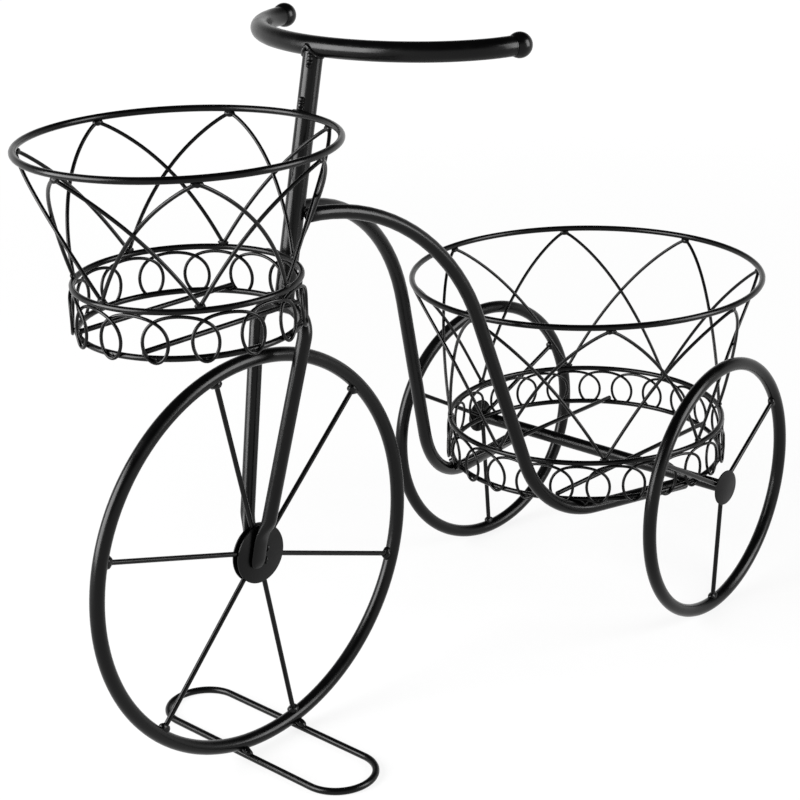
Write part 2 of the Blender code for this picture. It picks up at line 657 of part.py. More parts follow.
def build_baskets():
    front_band_z = FRONT_BOTTOM_Z + FRONT_BAND_RING_HEIGHT
    build_basket("front_basket", FRONT_BASKET_X,
                 (FRONT_TOP_RING_RADIUS, FRONT_BAND_RING_RADIUS, FRONT_BOTTOM_RING_RADIUS),
                 (FRONT_TOP_Z, front_band_z, FRONT_BOTTOM_Z),
                 (FRONT_PEAKS, FRONT_PEAK_PHASE, FRONT_LATTICE_BOW), (FRONT_LOOPS, FRONT_LOOP_PHASE),
                 FRONT_FLOOR_BAR_OFFSET, FRONT_RING_STEPS)
    rear_band_z = REAR_BOTTOM_Z + REAR_BAND_RING_HEIGHT
    rear_top_z = REAR_BOTTOM_Z + REAR_TOP_RING_HEIGHT
    build_basket("rear_basket", REAR_BASKET_X,
                 (REAR_TOP_RING_RADIUS, REAR_BAND_RING_RADIUS, REAR_BOTTOM_RING_RADIUS),
                 (rear_top_z, rear_band_z, REAR_BOTTOM_Z),
                 (REAR_PEAKS, REAR_PEAK_PHASE, REAR_LATTICE_BOW), (REAR_LOOPS, REAR_LOOP_PHASE),
                 REAR_FLOOR_BAR_OFFSET, REAR_RING_STEPS)


clear_scene()
build_foot_loop()
build_front_wheel()
build_fork()
build_column()
build_handlebar()
build_rails()
build_rear_wheels()
build_baskets()
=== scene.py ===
# %% [markdown]
# # A bicycle planter of bent tube and wire
#
# This plant stand is a welded tricycle. Round steel tube makes its wheels, fork and frame, and thinner
# wire makes two open baskets. Everything wears the same black powder coat.
#
# Its solids are loaded as a fixed frame. They have few sides, because they serve to check sizes, so a
# close look shows flats on them. In this lesson each tube is bent again with many sides, the welds are
# laid on the joints, and the coat is mixed from noise, so that highlights run along it as on real steel.

# %% Load the frame
import math

import bpy
from mathutils import Matrix, Vector, noise


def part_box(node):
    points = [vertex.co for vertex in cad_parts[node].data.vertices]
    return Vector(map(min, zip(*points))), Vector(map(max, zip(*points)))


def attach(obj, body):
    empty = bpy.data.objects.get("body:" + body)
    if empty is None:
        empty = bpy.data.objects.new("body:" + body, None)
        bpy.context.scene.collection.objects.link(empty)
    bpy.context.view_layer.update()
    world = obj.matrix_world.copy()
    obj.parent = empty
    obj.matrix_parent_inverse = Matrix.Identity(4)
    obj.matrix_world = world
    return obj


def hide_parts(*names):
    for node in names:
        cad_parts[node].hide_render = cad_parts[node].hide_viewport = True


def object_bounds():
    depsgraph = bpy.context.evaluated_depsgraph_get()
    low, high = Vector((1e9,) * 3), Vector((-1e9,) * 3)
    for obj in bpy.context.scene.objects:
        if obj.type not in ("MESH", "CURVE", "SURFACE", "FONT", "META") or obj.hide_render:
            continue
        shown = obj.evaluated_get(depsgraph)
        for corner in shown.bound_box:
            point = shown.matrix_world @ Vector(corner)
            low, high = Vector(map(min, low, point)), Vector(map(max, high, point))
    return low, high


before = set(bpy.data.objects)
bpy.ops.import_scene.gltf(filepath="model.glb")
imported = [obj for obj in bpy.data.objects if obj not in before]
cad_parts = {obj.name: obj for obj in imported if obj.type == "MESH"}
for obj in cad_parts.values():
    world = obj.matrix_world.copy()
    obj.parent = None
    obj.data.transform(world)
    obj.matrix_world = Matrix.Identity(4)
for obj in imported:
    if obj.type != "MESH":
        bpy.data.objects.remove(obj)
cad_low, cad_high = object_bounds()
cad_size = cad_high - cad_low
print("The frame has", len(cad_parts), "pieces, and in mm it is",
      [round(length * 1000) for length in cad_size])

# %% [markdown]
# ## The camera
#
# The camera comes first, because it decides which details are worth the time. A photograph of a round
# wheel tells where it was taken from: the wheel shows as an ellipse, and its shape gives the angles.
# Those angles and the place, counted from the front wheel's hub, are written here as they were found,
# and the camera's own axes are worked out from them. A long lens keeps the near wheel from looking large.

# %% Set the camera
CAMERA_YAW = math.radians(-46.25)
CAMERA_PITCH = math.radians(20.18)
CAMERA_ROLL = math.radians(-1.72)
CAMERA_AHEAD = 0.95691
CAMERA_ASIDE = 1.08061
CAMERA_HEIGHT = 0.83165
CAMERA_LENS = 87.34
CAMERA_SENSOR = 36


def middle(node):
    """The middle of a frame piece's box."""
    low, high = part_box(node)
    return (low + high) / 2


front_hub = middle("front_wheel_rim")
back = Vector((math.sin(CAMERA_YAW) * math.cos(CAMERA_PITCH),
               -math.cos(CAMERA_YAW) * math.cos(CAMERA_PITCH),
               math.sin(CAMERA_PITCH)))
level_right = Vector((math.cos(CAMERA_YAW), math.sin(CAMERA_YAW), 0))
level_up = back.cross(level_right)
right = level_right * math.cos(CAMERA_ROLL) + level_up * math.sin(CAMERA_ROLL)
up = level_up * math.cos(CAMERA_ROLL) - level_right * math.sin(CAMERA_ROLL)

bpy.ops.object.camera_add()
camera = bpy.context.object
camera.name = "photo_camera"
camera.data.lens = CAMERA_LENS
camera.data.sensor_width = CAMERA_SENSOR
camera_place = Vector((front_hub.x - CAMERA_AHEAD, front_hub.y - CAMERA_ASIDE, CAMERA_HEIGHT))
camera.matrix_world = Matrix.Translation(camera_place) @ Matrix((right, up, back)).transposed().to_4x4()
bpy.context.scene.camera = camera
print("The camera stands", round((camera_place - front_hub).length, 2), "m from the front hub")

# %% [markdown]
# ## Soft lamps
#
# Black gloss steel has almost no colour of its own. What the eye reads as its shape is the reflection of
# the lamps, so their places matter more than their strength. One large softbox stands well to the left of
# the camera and one to the right. Each upright tube then shows a broad streak on its left and a thinner
# one on its right, with black between them. A wider box would make a wider streak, but also more light.

# %% Place the lamps
LAMP_DISTANCE = 1.9
LAMP_RISE = math.radians(19)
LAMP_HEIGHT = 1.3
LEFT_LAMP_TURN = math.radians(-66)
LEFT_LAMP_WIDTH = 1.5
LEFT_LAMP_POWER = 101
RIGHT_LAMP_TURN = math.radians(74)
RIGHT_LAMP_WIDTH = 0.9
RIGHT_LAMP_POWER = 48


def clear_selection():
    """Operators act on all that is selected, so each step starts with nothing selected."""
    bpy.ops.object.select_all(action='DESELECT')


def add_softbox(name, turn, width, power):
    """A lamp that faces the planter's middle, turned sideways from the camera's own direction."""
    angle = CAMERA_YAW + turn
    level = math.cos(LAMP_RISE)
    away = Vector((math.sin(angle) * level, -math.cos(angle) * level, math.sin(LAMP_RISE)))
    target = (cad_low + cad_high) / 2
    facing = away.to_track_quat('Z', 'Y').to_euler()
    clear_selection()
    bpy.ops.object.light_add(type='AREA', location=target + away * LAMP_DISTANCE, rotation=facing)
    lamp = bpy.context.object
    lamp.name = name
    lamp.data.shape = 'RECTANGLE'
    lamp.data.size = width
    lamp.data.size_y = LAMP_HEIGHT
    lamp.data.energy = power


add_softbox("left_softbox", LEFT_LAMP_TURN, LEFT_LAMP_WIDTH, LEFT_LAMP_POWER)
add_softbox("right_softbox", RIGHT_LAMP_TURN, RIGHT_LAMP_WIDTH, RIGHT_LAMP_POWER)
bpy.context.scene.view_settings.view_transform = 'Standard'
print("The lamps stand", LAMP_DISTANCE, "m from the planter's middle")

# %% [markdown]
# ## Helpers for materials
#
# A material is a tree of nodes. Two kinds come up again and again: one that reckons with two values, and
# one that turns one range into another. As functions they keep the recipes short. A third helper tells
# light that reaches the camera from light that only falls on things.

# %% Make the node helpers
def reckon(tree, operation, first, second):
    """A Math node on two outputs."""
    node = tree.nodes.new("ShaderNodeMath")
    node.operation = operation
    tree.links.new(first, node.inputs[0])
    tree.links.new(second, node.inputs[1])
    return node.outputs[0]


def ramp(tree, source, start, end, low, high):
    """A Map Range node: runs from low to high while its source runs from start to end."""
    node = tree.nodes.new("ShaderNodeMapRange")
    for name, value in (("From Min", start), ("From Max", end), ("To Min", low), ("To Max", high)):
        node.inputs[name].default_value = value
    tree.links.new(source, node.inputs["Value"])
    return node


def seen_directly(tree):
    """1 for rays from the camera, from gloss and through glass, and 0 for light that is scattered."""
    path = tree.nodes.new("ShaderNodeLightPath").outputs
    gloss = reckon(tree, 'MAXIMUM', path["Is Camera Ray"], path["Is Glossy Ray"])
    return reckon(tree, 'MAXIMUM', gloss, path["Is Transmission Ray"])


print("Two kinds of node and a test for light are ready")

# %% [markdown]
# ## White paper
#
# The planter stands on a wide sheet of white paper. Strong lamps could make grey paper white, but they
# would flood the planter too. So the paper glows by itself, and Light Path lets only the camera and gloss
# see that glow. Close to the planter it glows a little less. The lamps make up the rest there, and where
# the planter blocks them, a faint shadow stays.

# %% Lay the paper
PAPER_RADIUS = 14
PAPER_SIDES = 96
PAPER_GREY = 0.1
PAPER_ROUGHNESS = 0.9
PAPER_SHINE = 0.05
NEAR_GLOW = 0.86
FAR_GLOW = 1
NEAR_GLOW_REACH = 0.4
FAR_GLOW_REACH = 3.0


def mix_paper():
    """Matt paper whose glow grows with the distance from the planter."""
    material = bpy.data.materials.new("white_paper")
    material.use_nodes = True
    tree = material.node_tree
    sockets = tree.nodes["Principled BSDF"].inputs
    sockets["Base Color"].default_value = (PAPER_GREY, PAPER_GREY, PAPER_GREY, 1)
    sockets["Roughness"].default_value = PAPER_ROUGHNESS
    sockets["Specular IOR Level"].default_value = PAPER_SHINE
    sockets["Emission Color"].default_value = (1, 1, 1, 1)
    coordinates = tree.nodes.new("ShaderNodeTexCoord")
    reach = tree.nodes.new("ShaderNodeVectorMath")
    reach.operation = 'LENGTH'
    tree.links.new(coordinates.outputs["Object"], reach.inputs[0])
    glow = ramp(tree, reach.outputs["Value"], NEAR_GLOW_REACH, FAR_GLOW_REACH, NEAR_GLOW, FAR_GLOW)
    strength = reckon(tree, 'MULTIPLY', seen_directly(tree), glow.outputs["Result"])
    tree.links.new(strength, sockets["Emission Strength"])
    return material


clear_selection()
bpy.ops.mesh.primitive_circle_add(vertices=PAPER_SIDES, radius=PAPER_RADIUS, fill_type='NGON')
floor = bpy.context.object
floor.name = "studio_floor"
floor.data.materials.append(mix_paper())
print("The paper is", 2 * PAPER_RADIUS, "m across")

# %% [markdown]
# ## Backdrop and ceiling
#
# Behind the paper, the world is white at the horizon and darkens upwards. A white dome would be simpler,
# but every tube would then wear a grey veil on its upper side. Light that only scatters off the planter
# takes one dim grey from all sides.

# %% Hang the backdrop
CEILING_START = 0.1
CEILING_FULL = 0.6
CEILING_GREY = 0.03
SCATTERED_GREY = 0.15


def build_backdrop():
    """White where it is seen, and a dimmer grey for the light that it sheds."""
    world = bpy.data.worlds.new("white_backdrop")
    bpy.context.scene.world = world
    world.use_nodes = True
    tree = world.node_tree
    sockets = tree.nodes["Background"].inputs
    sockets["Color"].default_value = (1, 1, 1, 1)
    coordinates = tree.nodes.new("ShaderNodeTexCoord")
    parts = tree.nodes.new("ShaderNodeSeparateXYZ")
    tree.links.new(coordinates.outputs["Generated"], parts.inputs["Vector"])
    wall = ramp(tree, parts.outputs["Z"], CEILING_START, CEILING_FULL, 1, CEILING_GREY)
    wall.interpolation_type = 'SMOOTHSTEP'
    shade = tree.nodes.new("ShaderNodeMix")
    shade.inputs["A"].default_value = SCATTERED_GREY
    tree.links.new(seen_directly(tree), shade.inputs["Factor"])
    tree.links.new(wall.outputs["Result"], shade.inputs["B"])
    tree.links.new(shade.outputs["Result"], sockets["Strength"])


build_backdrop()
print("The world is", bpy.context.scene.world.name)

# %% [markdown]
# ## The black coats
#
# Powder coat is plastic dust, melted on in an oven. It flows nearly smooth, but keeps a fine orange peel
# with waves about a millimetre wide, and its gloss is a little uneven. An image could carry that, but a
# noise texture needs no file and has no seams. One noise bumps the surface, a wider one moves the
# roughness, and the widest tints the black. They read Object coordinates, so they sit still on the steel.

# %% Write the coat's recipe
PEEL_DETAIL = 2
PATCH_SIZE = 0.012
PATCH_DETAIL = 4
CLOUD_SIZE = 0.06
CLOUD_DETAIL = 3
PATCH_LOW = 0.3
PATCH_HIGH = 0.7


def mix_coat(name, shine, dark, light, smooth, rough, peel_size, peel_depth):
    """A black coat between two tints and two roughnesses, with an orange peel of a size and depth."""
    material = bpy.data.materials.new(name)
    material.use_nodes = True
    tree = material.node_tree
    sockets = tree.nodes["Principled BSDF"].inputs
    sockets["Specular IOR Level"].default_value = shine
    coordinates = tree.nodes.new("ShaderNodeTexCoord")
    noises = []
    for size, detail in ((peel_size, PEEL_DETAIL), (PATCH_SIZE, PATCH_DETAIL), (CLOUD_SIZE, CLOUD_DETAIL)):
        texture = tree.nodes.new("ShaderNodeTexNoise")
        texture.inputs["Scale"].default_value = 1 / size
        texture.inputs["Detail"].default_value = detail
        tree.links.new(coordinates.outputs["Object"], texture.inputs["Vector"])
        noises.append(texture.outputs["Fac"])
    peel, patches, clouds = noises

    bump = tree.nodes.new("ShaderNodeBump")
    bump.inputs["Strength"].default_value = 1
    bump.inputs["Distance"].default_value = peel_depth
    tree.links.new(peel, bump.inputs["Height"])
    tree.links.new(bump.outputs["Normal"], sockets["Normal"])

    gloss = ramp(tree, patches, PATCH_LOW, PATCH_HIGH, smooth, rough)
    tree.links.new(gloss.outputs["Result"], sockets["Roughness"])

    tint = tree.nodes.new("ShaderNodeMix")
    tint.data_type = 'RGBA'
    tint.inputs["A"].default_value = (*dark, 1)
    tint.inputs["B"].default_value = (*light, 1)
    tree.links.new(clouds, tint.inputs["Factor"])
    tree.links.new(tint.outputs["Result"], sockets["Base Color"])
    return material


print("Patches of gloss are", 1000 * PATCH_SIZE, "mm wide, and clouds of tint", 1000 * CLOUD_SIZE, "mm")

# %% [markdown]
# ## Four blacks
#
# The same recipe is mixed four times, with other numbers. Thick tube shows the orange peel, thin wire
# looks smoother, and the stamped hub plates are flatter and greyer. Weld metal stays lumpy under its coat.
# The blacks are very dark, because most of what is seen on them is reflection.

# %% Mix the coats
COAT_SHINE = 0.165
PLATE_SHINE = 0.13
BLACK = (0.0006, 0.0006, 0.00065)
WORN_BLACK = (0.0016, 0.0016, 0.0017)
PLATE_BLACK = (0.0008, 0.0008, 0.0009)
PLATE_GREY = (0.002, 0.002, 0.0021)

gloss_coat = mix_coat("gloss_black_coat", shine=COAT_SHINE, dark=BLACK, light=WORN_BLACK,
                      smooth=0.2, rough=0.3, peel_size=0.0013, peel_depth=0.000012)
wire_coat = mix_coat("coated_wire", shine=COAT_SHINE, dark=BLACK, light=WORN_BLACK,
                     smooth=0.18, rough=0.28, peel_size=0.0011, peel_depth=0.000004)
plate_coat = mix_coat("satin_plate_coat", shine=PLATE_SHINE, dark=PLATE_BLACK, light=PLATE_GREY,
                      smooth=0.32, rough=0.42, peel_size=0.0009, peel_depth=0.000015)
weld_coat = mix_coat("coated_weld", shine=COAT_SHINE, dark=PLATE_BLACK, light=PLATE_GREY,
                     smooth=0.2, rough=0.32, peel_size=0.0022, peel_depth=0.00025)
print("Coats:", [material.name for material in (gloss_coat, wire_coat, plate_coat, weld_coat)])

# %% [markdown]
# ## Bending tube
#
# A workshop bends a tube in steps: a straight run, a bend of some radius, the next run. The same can be
# done here. A circle is the tube's open end. Extruding it makes a straight run, and spinning it about the
# bend's centre makes the bend. A curve with a bevel would be quicker, but then the bend's radius would
# hide in its handles. With no window, a spin turns against the right hand, so its angle is negated.

# %% Make the tube bender
MERGE = 0.00002
TUBE_SIDES = 24
BEND_STEPS = 18


def choose(piece):
    """Makes one piece the selected and active one."""
    clear_selection()
    piece.select_set(True)
    bpy.context.view_layer.objects.active = piece


def open_end(name, place, direction, diameter, sides=TUBE_SIDES):
    """Adds a tube's open end, which faces along a direction, and stays in edit mode."""
    clear_selection()
    facing = Vector((0, 0, 1)).rotation_difference(direction).to_euler()
    bpy.ops.mesh.primitive_circle_add(vertices=sides, radius=diameter / 2, location=place, rotation=facing)
    piece = bpy.context.object
    piece.name = name
    bpy.ops.object.transform_apply(location=True, rotation=True, scale=True)
    bpy.ops.object.mode_set(mode='EDIT')
    bpy.ops.mesh.select_all(action='SELECT')
    return piece


def run_to(step):
    """Pulls the open end straight on."""
    bpy.ops.mesh.extrude_region_move(TRANSFORM_OT_translate={"value": tuple(step)})


def bend_by(turn, centre, axis, steps=BEND_STEPS):
    """Spins the open end about a bend's centre."""
    bpy.ops.mesh.spin(steps=steps, angle=-turn, center=tuple(centre), axis=tuple(axis))


def close_tube():
    """Merges doubles, fills the open ends, turns the faces outwards and leaves edit mode."""
    bpy.ops.mesh.select_all(action='SELECT')
    bpy.ops.mesh.remove_doubles(threshold=MERGE)
    bpy.ops.mesh.fill_holes(sides=0)
    bpy.ops.mesh.select_all(action='SELECT')
    bpy.ops.mesh.normals_make_consistent(inside=False)
    bpy.ops.object.mode_set(mode='OBJECT')


def straight_tube(name, start, step, diameter, sides=TUBE_SIDES):
    """One straight length of tube or rod."""
    piece = open_end(name, start, step, diameter, sides)
    run_to(step)
    close_tube()
    return piece


print("A tube's end has", TUBE_SIDES, "sides, and a bend has", BEND_STEPS, "steps")

# %% [markdown]
# ## Bending through corners
#
# A workshop drawing gives a bent tube by its corners and a radius for each. A bend starts ahead of its
# corner and ends as far behind it, at the radius divided by the tangent of half the corner's angle. Its
# centre lies on the line that halves the corner. With these, one function bends every tube below.

# %% Bend through corners
def bent_tube(name, corners, radii, diameter):
    """One tube bent through its corners, each bend with its own radius."""
    piece = open_end(name, corners[0], corners[1] - corners[0], diameter)
    here = corners[0]
    for before, corner, after, radius in zip(corners, corners[1:], corners[2:], radii):
        come = (before - corner).normalized()
        go = (after - corner).normalized()
        half = come.angle(go) / 2
        reach = radius / math.tan(half)
        centre = corner + (come + go).normalized() * reach / math.cos(half)
        bend_start = corner + come * reach
        run_to(bend_start - here)
        axis = (bend_start - centre).cross(corner - centre).normalized()
        bend_by(math.pi - 2 * half, centre, axis)
        here = corner + go * reach
    run_to(corners[-1] - here)
    close_tube()
    return piece


print("A tube can be bent through any row of corners")

# %% [markdown]
# ## Coating a finished piece
#
# Every piece ends the same way: its smooth angle is set, it gets its coat, it hangs under the root body,
# and the frame piece that it replaces is hidden. Cut ends of rods and plates lose their burr before they
# are coated, which a bevel on their sharp edges shows.

# %% Coat and dress
SMOOTH_ANGLE = math.radians(40)
BURR_ANGLE = math.radians(60)
BURR_STEPS = 2


def coat_piece(piece, coat):
    """Smooths a piece, coats it, and hangs it under the root body."""
    choose(piece)
    bpy.ops.object.shade_smooth_by_angle(angle=SMOOTH_ANGLE)
    piece.data.materials.clear()
    piece.data.materials.append(coat)
    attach(piece, "root")


def dress(piece, coat, node):
    """Coats a piece and lets it stand for its frame piece."""
    coat_piece(piece, coat)
    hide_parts(node)


def soften_rims(piece, width):
    """Rounds a piece's sharp rims with a small bevel."""
    choose(piece)
    bevel = piece.modifiers.new("Softened rims", 'BEVEL')
    bevel.width = width
    bevel.segments = BURR_STEPS
    bevel.limit_method = 'ANGLE'
    bevel.angle_limit = BURR_ANGLE
    bpy.ops.object.modifier_apply(modifier=bevel.name)


print("Edges sharper than", round(math.degrees(BURR_ANGLE)), "degrees are rounded")

# %% [markdown]
# ## Rings and rims
#
# The wheel rims and the basket rings are wire or tube bent into full circles and closed by a weld. A torus
# primitive would do, but its profile starts flat side up. Spinning a round end by one full turn is the
# same move as the tube bender's, and the last step is merged with the first.

# %% Bend the front rim
STOCK_TUBE = 0.012
RIM_STEPS = 160


def bent_ring(name, centre, radius, wire, stance, steps, sides):
    """A full ring about its own Z axis, then turned by its stance and put in its place."""
    piece = open_end(name, Vector((radius, 0, 0)), Vector((0, 1, 0)), wire, sides)
    bend_by(2 * math.pi, (0, 0, 0), (0, 0, 1), steps)
    close_tube()
    piece.matrix_world = Matrix.Translation(centre) @ stance.to_4x4()
    choose(piece)
    bpy.ops.object.transform_apply(location=True, rotation=True, scale=True)
    return piece


upright = Matrix.Rotation(math.pi / 2, 3, 'X')
rim_low, rim_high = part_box("front_wheel_rim")
front_radius = (rim_high.x - rim_low.x - STOCK_TUBE) / 2
front_rim = bent_ring("front_rim_tube", front_hub, front_radius, STOCK_TUBE, upright, RIM_STEPS, TUBE_SIDES)
dress(front_rim, gloss_coat, "front_wheel_rim")
print("The front wheel is", round(2000 * front_radius + 1000 * STOCK_TUBE), "mm across")

# %% [markdown]
# ## The front wheel's spokes and hub
#
# Six straight rods run from the rim to the hub, where two stamped plates clasp them. The rods aren't evenly
# spaced on the real one: whoever welded it set them by eye. Copying one rod round the hub would be quicker,
# but would make them even, so each has its own angle here. The coat adds 0.12 mm a side, which counts on
# wire this thin.

# %% Build the spokes and hub plates
SPOKE_ROD = 0.004
SPOKE_SIDES = 16
FRONT_SPOKE_ANGLES = [math.radians(angle) for angle in (43.4, 102.1, 163.3, 226.0, 280.6, 340.3)]
FRONT_SPOKE_START = 0.008
WELD_GAP = 0.0003
COAT_BUILD = 0.00012
COATED_SPOKE = SPOKE_ROD + 2 * COAT_BUILD
HUB_PLATE_SIDES = 80
HUB_PLATE_ROUND = 0.0003
SIDES = {"left": -1, "right": 1}


def outward_at(angle):
    """The direction from an upright wheel's middle to its rim, at an angle."""
    return Vector((math.cos(angle), 0, math.sin(angle)))


def hub_plate(name, node):
    """A stamped round plate with softened rims, at the frame's size and place."""
    low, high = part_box(node)
    size = high - low
    clear_selection()
    bpy.ops.mesh.primitive_cylinder_add(vertices=HUB_PLATE_SIDES, radius=size.z / 2, depth=size.y,
                                        location=(low + high) / 2, rotation=(math.pi / 2, 0, 0))
    piece = bpy.context.object
    piece.name = name
    bpy.ops.object.transform_apply(location=True, rotation=True, scale=True)
    soften_rims(piece, HUB_PLATE_ROUND)
    return piece


front_spoke_tips = []
for number, angle in enumerate(FRONT_SPOKE_ANGLES, 1):
    outward = outward_at(angle)
    tip = front_hub + outward * (front_radius - STOCK_TUBE / 2 - WELD_GAP)
    front_spoke_tips.append((tip, outward))
    root = front_hub + outward * FRONT_SPOKE_START
    rod = straight_tube(f"front_spoke_rod_{number}", root, tip - root, COATED_SPOKE, SPOKE_SIDES)
    dress(rod, wire_coat, f"front_wheel_spoke_{number}")
for side in SIDES:
    plate = hub_plate(f"front_hub_disc_{side}", f"front_hub_plate_{side}")
    dress(plate, plate_coat, f"front_hub_plate_{side}")
print("The front wheel has", len(front_spoke_tips), "spokes")

# %% [markdown]
# ## The foot under the front wheel
#
# A wheel alone would roll, so the front rim stands on a long loop of rod, flat on the ground. It is bent
# from one length: straight, half circle, straight, half circle. The bender above does just that.

# %% Build the foot loop
FOOT_ROD = 0.006
WIRE_SIDES = 14

foot_low, foot_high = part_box("foot_loop")
foot_half_spacing = (foot_high.x - foot_low.x - FOOT_ROD) / 2
foot_half_straight = (foot_high.y - foot_low.y - FOOT_ROD) / 2 - foot_half_spacing
foot_middle = (foot_low + foot_high) / 2


def build_foot_loop():
    """Two straight rods and two half circles."""
    start = foot_middle + Vector((foot_half_spacing, -foot_half_straight, 0))
    length = Vector((0, 2 * foot_half_straight, 0))
    piece = open_end("foot_loop_rod", start, length, FOOT_ROD, WIRE_SIDES)
    for side in (1, -1):
        run_to(length * side)
        centre = foot_middle + Vector((0, side * foot_half_straight, 0))
        bend_by(math.pi, centre, (0, 0, 1), 2 * BEND_STEPS)
    close_tube()
    return piece


dress(build_foot_loop(), gloss_coat, "foot_loop")
print("The foot loop is", round((foot_high.y - foot_low.y) * 1000), "mm long")

# %% [markdown]
# ## The fork
#
# The fork is one tube bent over the wheel: up one side, across the crown and down the other. Everything on
# it leans back with the steering axis, so its corners are given as runs along that axis, and the tube
# bender does the rest. Its two lower ends also bend, and then lie along the hub plates.

# %% Bend the fork
RAKE = math.radians(13.1)
STEERING_LEAD = 0.0047
CROWN_CLEARANCE = 0.0276
CROWN_HALF_WIDTH = 0.0295
CROWN_BEND_RADIUS = 0.020
TIP_BEND_RADIUS = 0.012
TIP_OVERHANG = 0.011

steer_up = Vector((math.sin(RAKE), 0, math.cos(RAKE)))
steer_ahead = Vector((-math.cos(RAKE), 0, math.sin(RAKE)))
plate_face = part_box("front_hub_plate_right")[1].y
crown_run = front_radius + STOCK_TUBE + CROWN_CLEARANCE


def on_column(run, side=0.0):
    """A point on the leaning steering axis, some way up from the hub and to one side."""
    return front_hub + steer_up * run + steer_ahead * STEERING_LEAD + Vector((0, side, 0))


def bend_fork():
    """The fork's tube: from the left tip over the crown to the right tip."""
    hub_side = plate_face - front_hub.y + WELD_GAP + STOCK_TUBE / 2
    corners = [
        on_column(-TIP_OVERHANG, -hub_side),
        on_column(0, -hub_side),
        on_column(crown_run, -CROWN_HALF_WIDTH),
        on_column(crown_run, CROWN_HALF_WIDTH),
        on_column(0, hub_side),
        on_column(-TIP_OVERHANG, hub_side),
    ]
    radii = [TIP_BEND_RADIUS, CROWN_BEND_RADIUS, CROWN_BEND_RADIUS, TIP_BEND_RADIUS]
    return bent_tube("fork_tube", corners, radii, STOCK_TUBE)


fork = bend_fork()
print("The fork's crown is", round(crown_run * 1000), "mm above the hub")

# %% [markdown]
# ## Pressing the fork's tips
#
# The fork's ends were pressed flat before they were welded to the hub plates, which shows as a soft oval on
# each plate. A press keeps the tube's outline, so what it loses in thickness it gains in width. It is done
# here after the bending: a few loops are cut across the legs with bisect, and their points are then moved,
# more and more towards the tip. The last few millimetres are rounded off as well.

# %% Press the tips
PRESSED_LENGTH = 0.032
PRESSED_THICKNESS = 0.005
PRESSED_WIDTH = 0.0145
PRESS_CUTS = 14
TIP_ROUND = 0.008
TIP_CUTS = 6
TIP_NARROWING = 0.8
TIP_THINNING = 0.45
TIP_RIM_ROUND = 0.001


def cut_across(piece, runs):
    """Cuts loops across the fork's legs at runs along the steering axis."""
    choose(piece)
    bpy.ops.object.mode_set(mode='EDIT')
    for run in runs:
        bpy.ops.mesh.select_all(action='SELECT')
        bpy.ops.mesh.bisect(plane_co=on_column(run), plane_no=steer_up)
    bpy.ops.object.mode_set(mode='OBJECT')


def press_tips(piece):
    """Flattens both tips against the hub plates."""
    cut_across(piece, [PRESSED_LENGTH * step / PRESS_CUTS for step in range(1, PRESS_CUTS + 1)])
    cut_across(piece, [TIP_ROUND * step / TIP_CUTS - TIP_OVERHANG for step in range(1, TIP_CUTS + 1)])
    hub = on_column(0)
    face = plate_face - front_hub.y + WELD_GAP
    for vertex in piece.data.vertices:
        offset = vertex.co - hub
        run = offset.dot(steer_up)
        share = (PRESSED_LENGTH - run) / (PRESSED_LENGTH - TIP_OVERHANG)
        share = min(max(share, 0), 1)
        pressed = share * share * (3 - 2 * share)
        thin = 1 + (PRESSED_THICKNESS / STOCK_TUBE - 1) * pressed
        wide = 1 + (PRESSED_WIDTH / STOCK_TUBE - 1) * pressed
        past = (TIP_OVERHANG + run) / TIP_ROUND
        if past < 1:
            wide *= math.sqrt(1 - (TIP_NARROWING * (1 - past)) ** 2)
            thin *= 1 - TIP_THINNING * (1 - past) ** 2
        side = math.copysign(1, offset.y)
        vertex.co.y = front_hub.y + side * (face + (abs(offset.y) - face) * thin)
        vertex.co += steer_ahead * offset.dot(steer_ahead) * (wide - 1)


press_tips(fork)
soften_rims(fork, TIP_RIM_ROUND)
dress(fork, gloss_coat, "fork")
print("The fork's tips are pressed to", round(PRESSED_THICKNESS * 1000), "mm")

# %% [markdown]
# ## The steering column
#
# The column is a wider tube whose ends are coped, cut to saddles that sit on the crown and under the
# handlebar. The ends could be left flat and hidden by weld, but a gap would show. A Boolean with a cylinder
# of the neighbour's size cuts each saddle as a hole saw does.

# %% Cope the column
WIDE_TUBE = 0.016
COLUMN_LENGTH = 0.189
COPE_LENGTH = 0.0035
SAW_SIDES = 96
SAW_LENGTHS = 20

across = Vector((0, 1, 0))
column_foot_run = crown_run + STOCK_TUBE / 2 + WELD_GAP
column_top_run = column_foot_run + COLUMN_LENGTH
bar_run = column_top_run + WELD_GAP + WIDE_TUBE / 2


def cope(piece, place, direction, diameter):
    """Cuts a saddle for a round neighbour, which passes through a place along a direction."""
    facing = Vector((0, 0, 1)).rotation_difference(direction).to_euler()
    clear_selection()
    bpy.ops.mesh.primitive_cylinder_add(vertices=SAW_SIDES, radius=diameter / 2 + WELD_GAP,
                                        depth=SAW_LENGTHS * diameter, location=place, rotation=facing)
    saw = bpy.context.object
    choose(piece)
    trim = piece.modifiers.new("Coped end", 'BOOLEAN')
    trim.operation = 'DIFFERENCE'
    trim.object = saw
    bpy.ops.object.modifier_apply(modifier=trim.name)
    bpy.data.objects.remove(saw, do_unlink=True)


def build_column():
    """The steering column, coped over the crown and under the handlebar."""
    low = on_column(column_foot_run - COPE_LENGTH)
    high = on_column(column_top_run + COPE_LENGTH)
    piece = straight_tube("steering_column_tube", low, high - low, WIDE_TUBE)
    cope(piece, on_column(crown_run), across, STOCK_TUBE)
    cope(piece, on_column(bar_run), across, WIDE_TUBE)
    return piece


dress(build_column(), gloss_coat, "steering_column")
print("The column is", round(COLUMN_LENGTH * 1000), "mm long and leans back",
      round(math.degrees(RAKE)), "degrees")

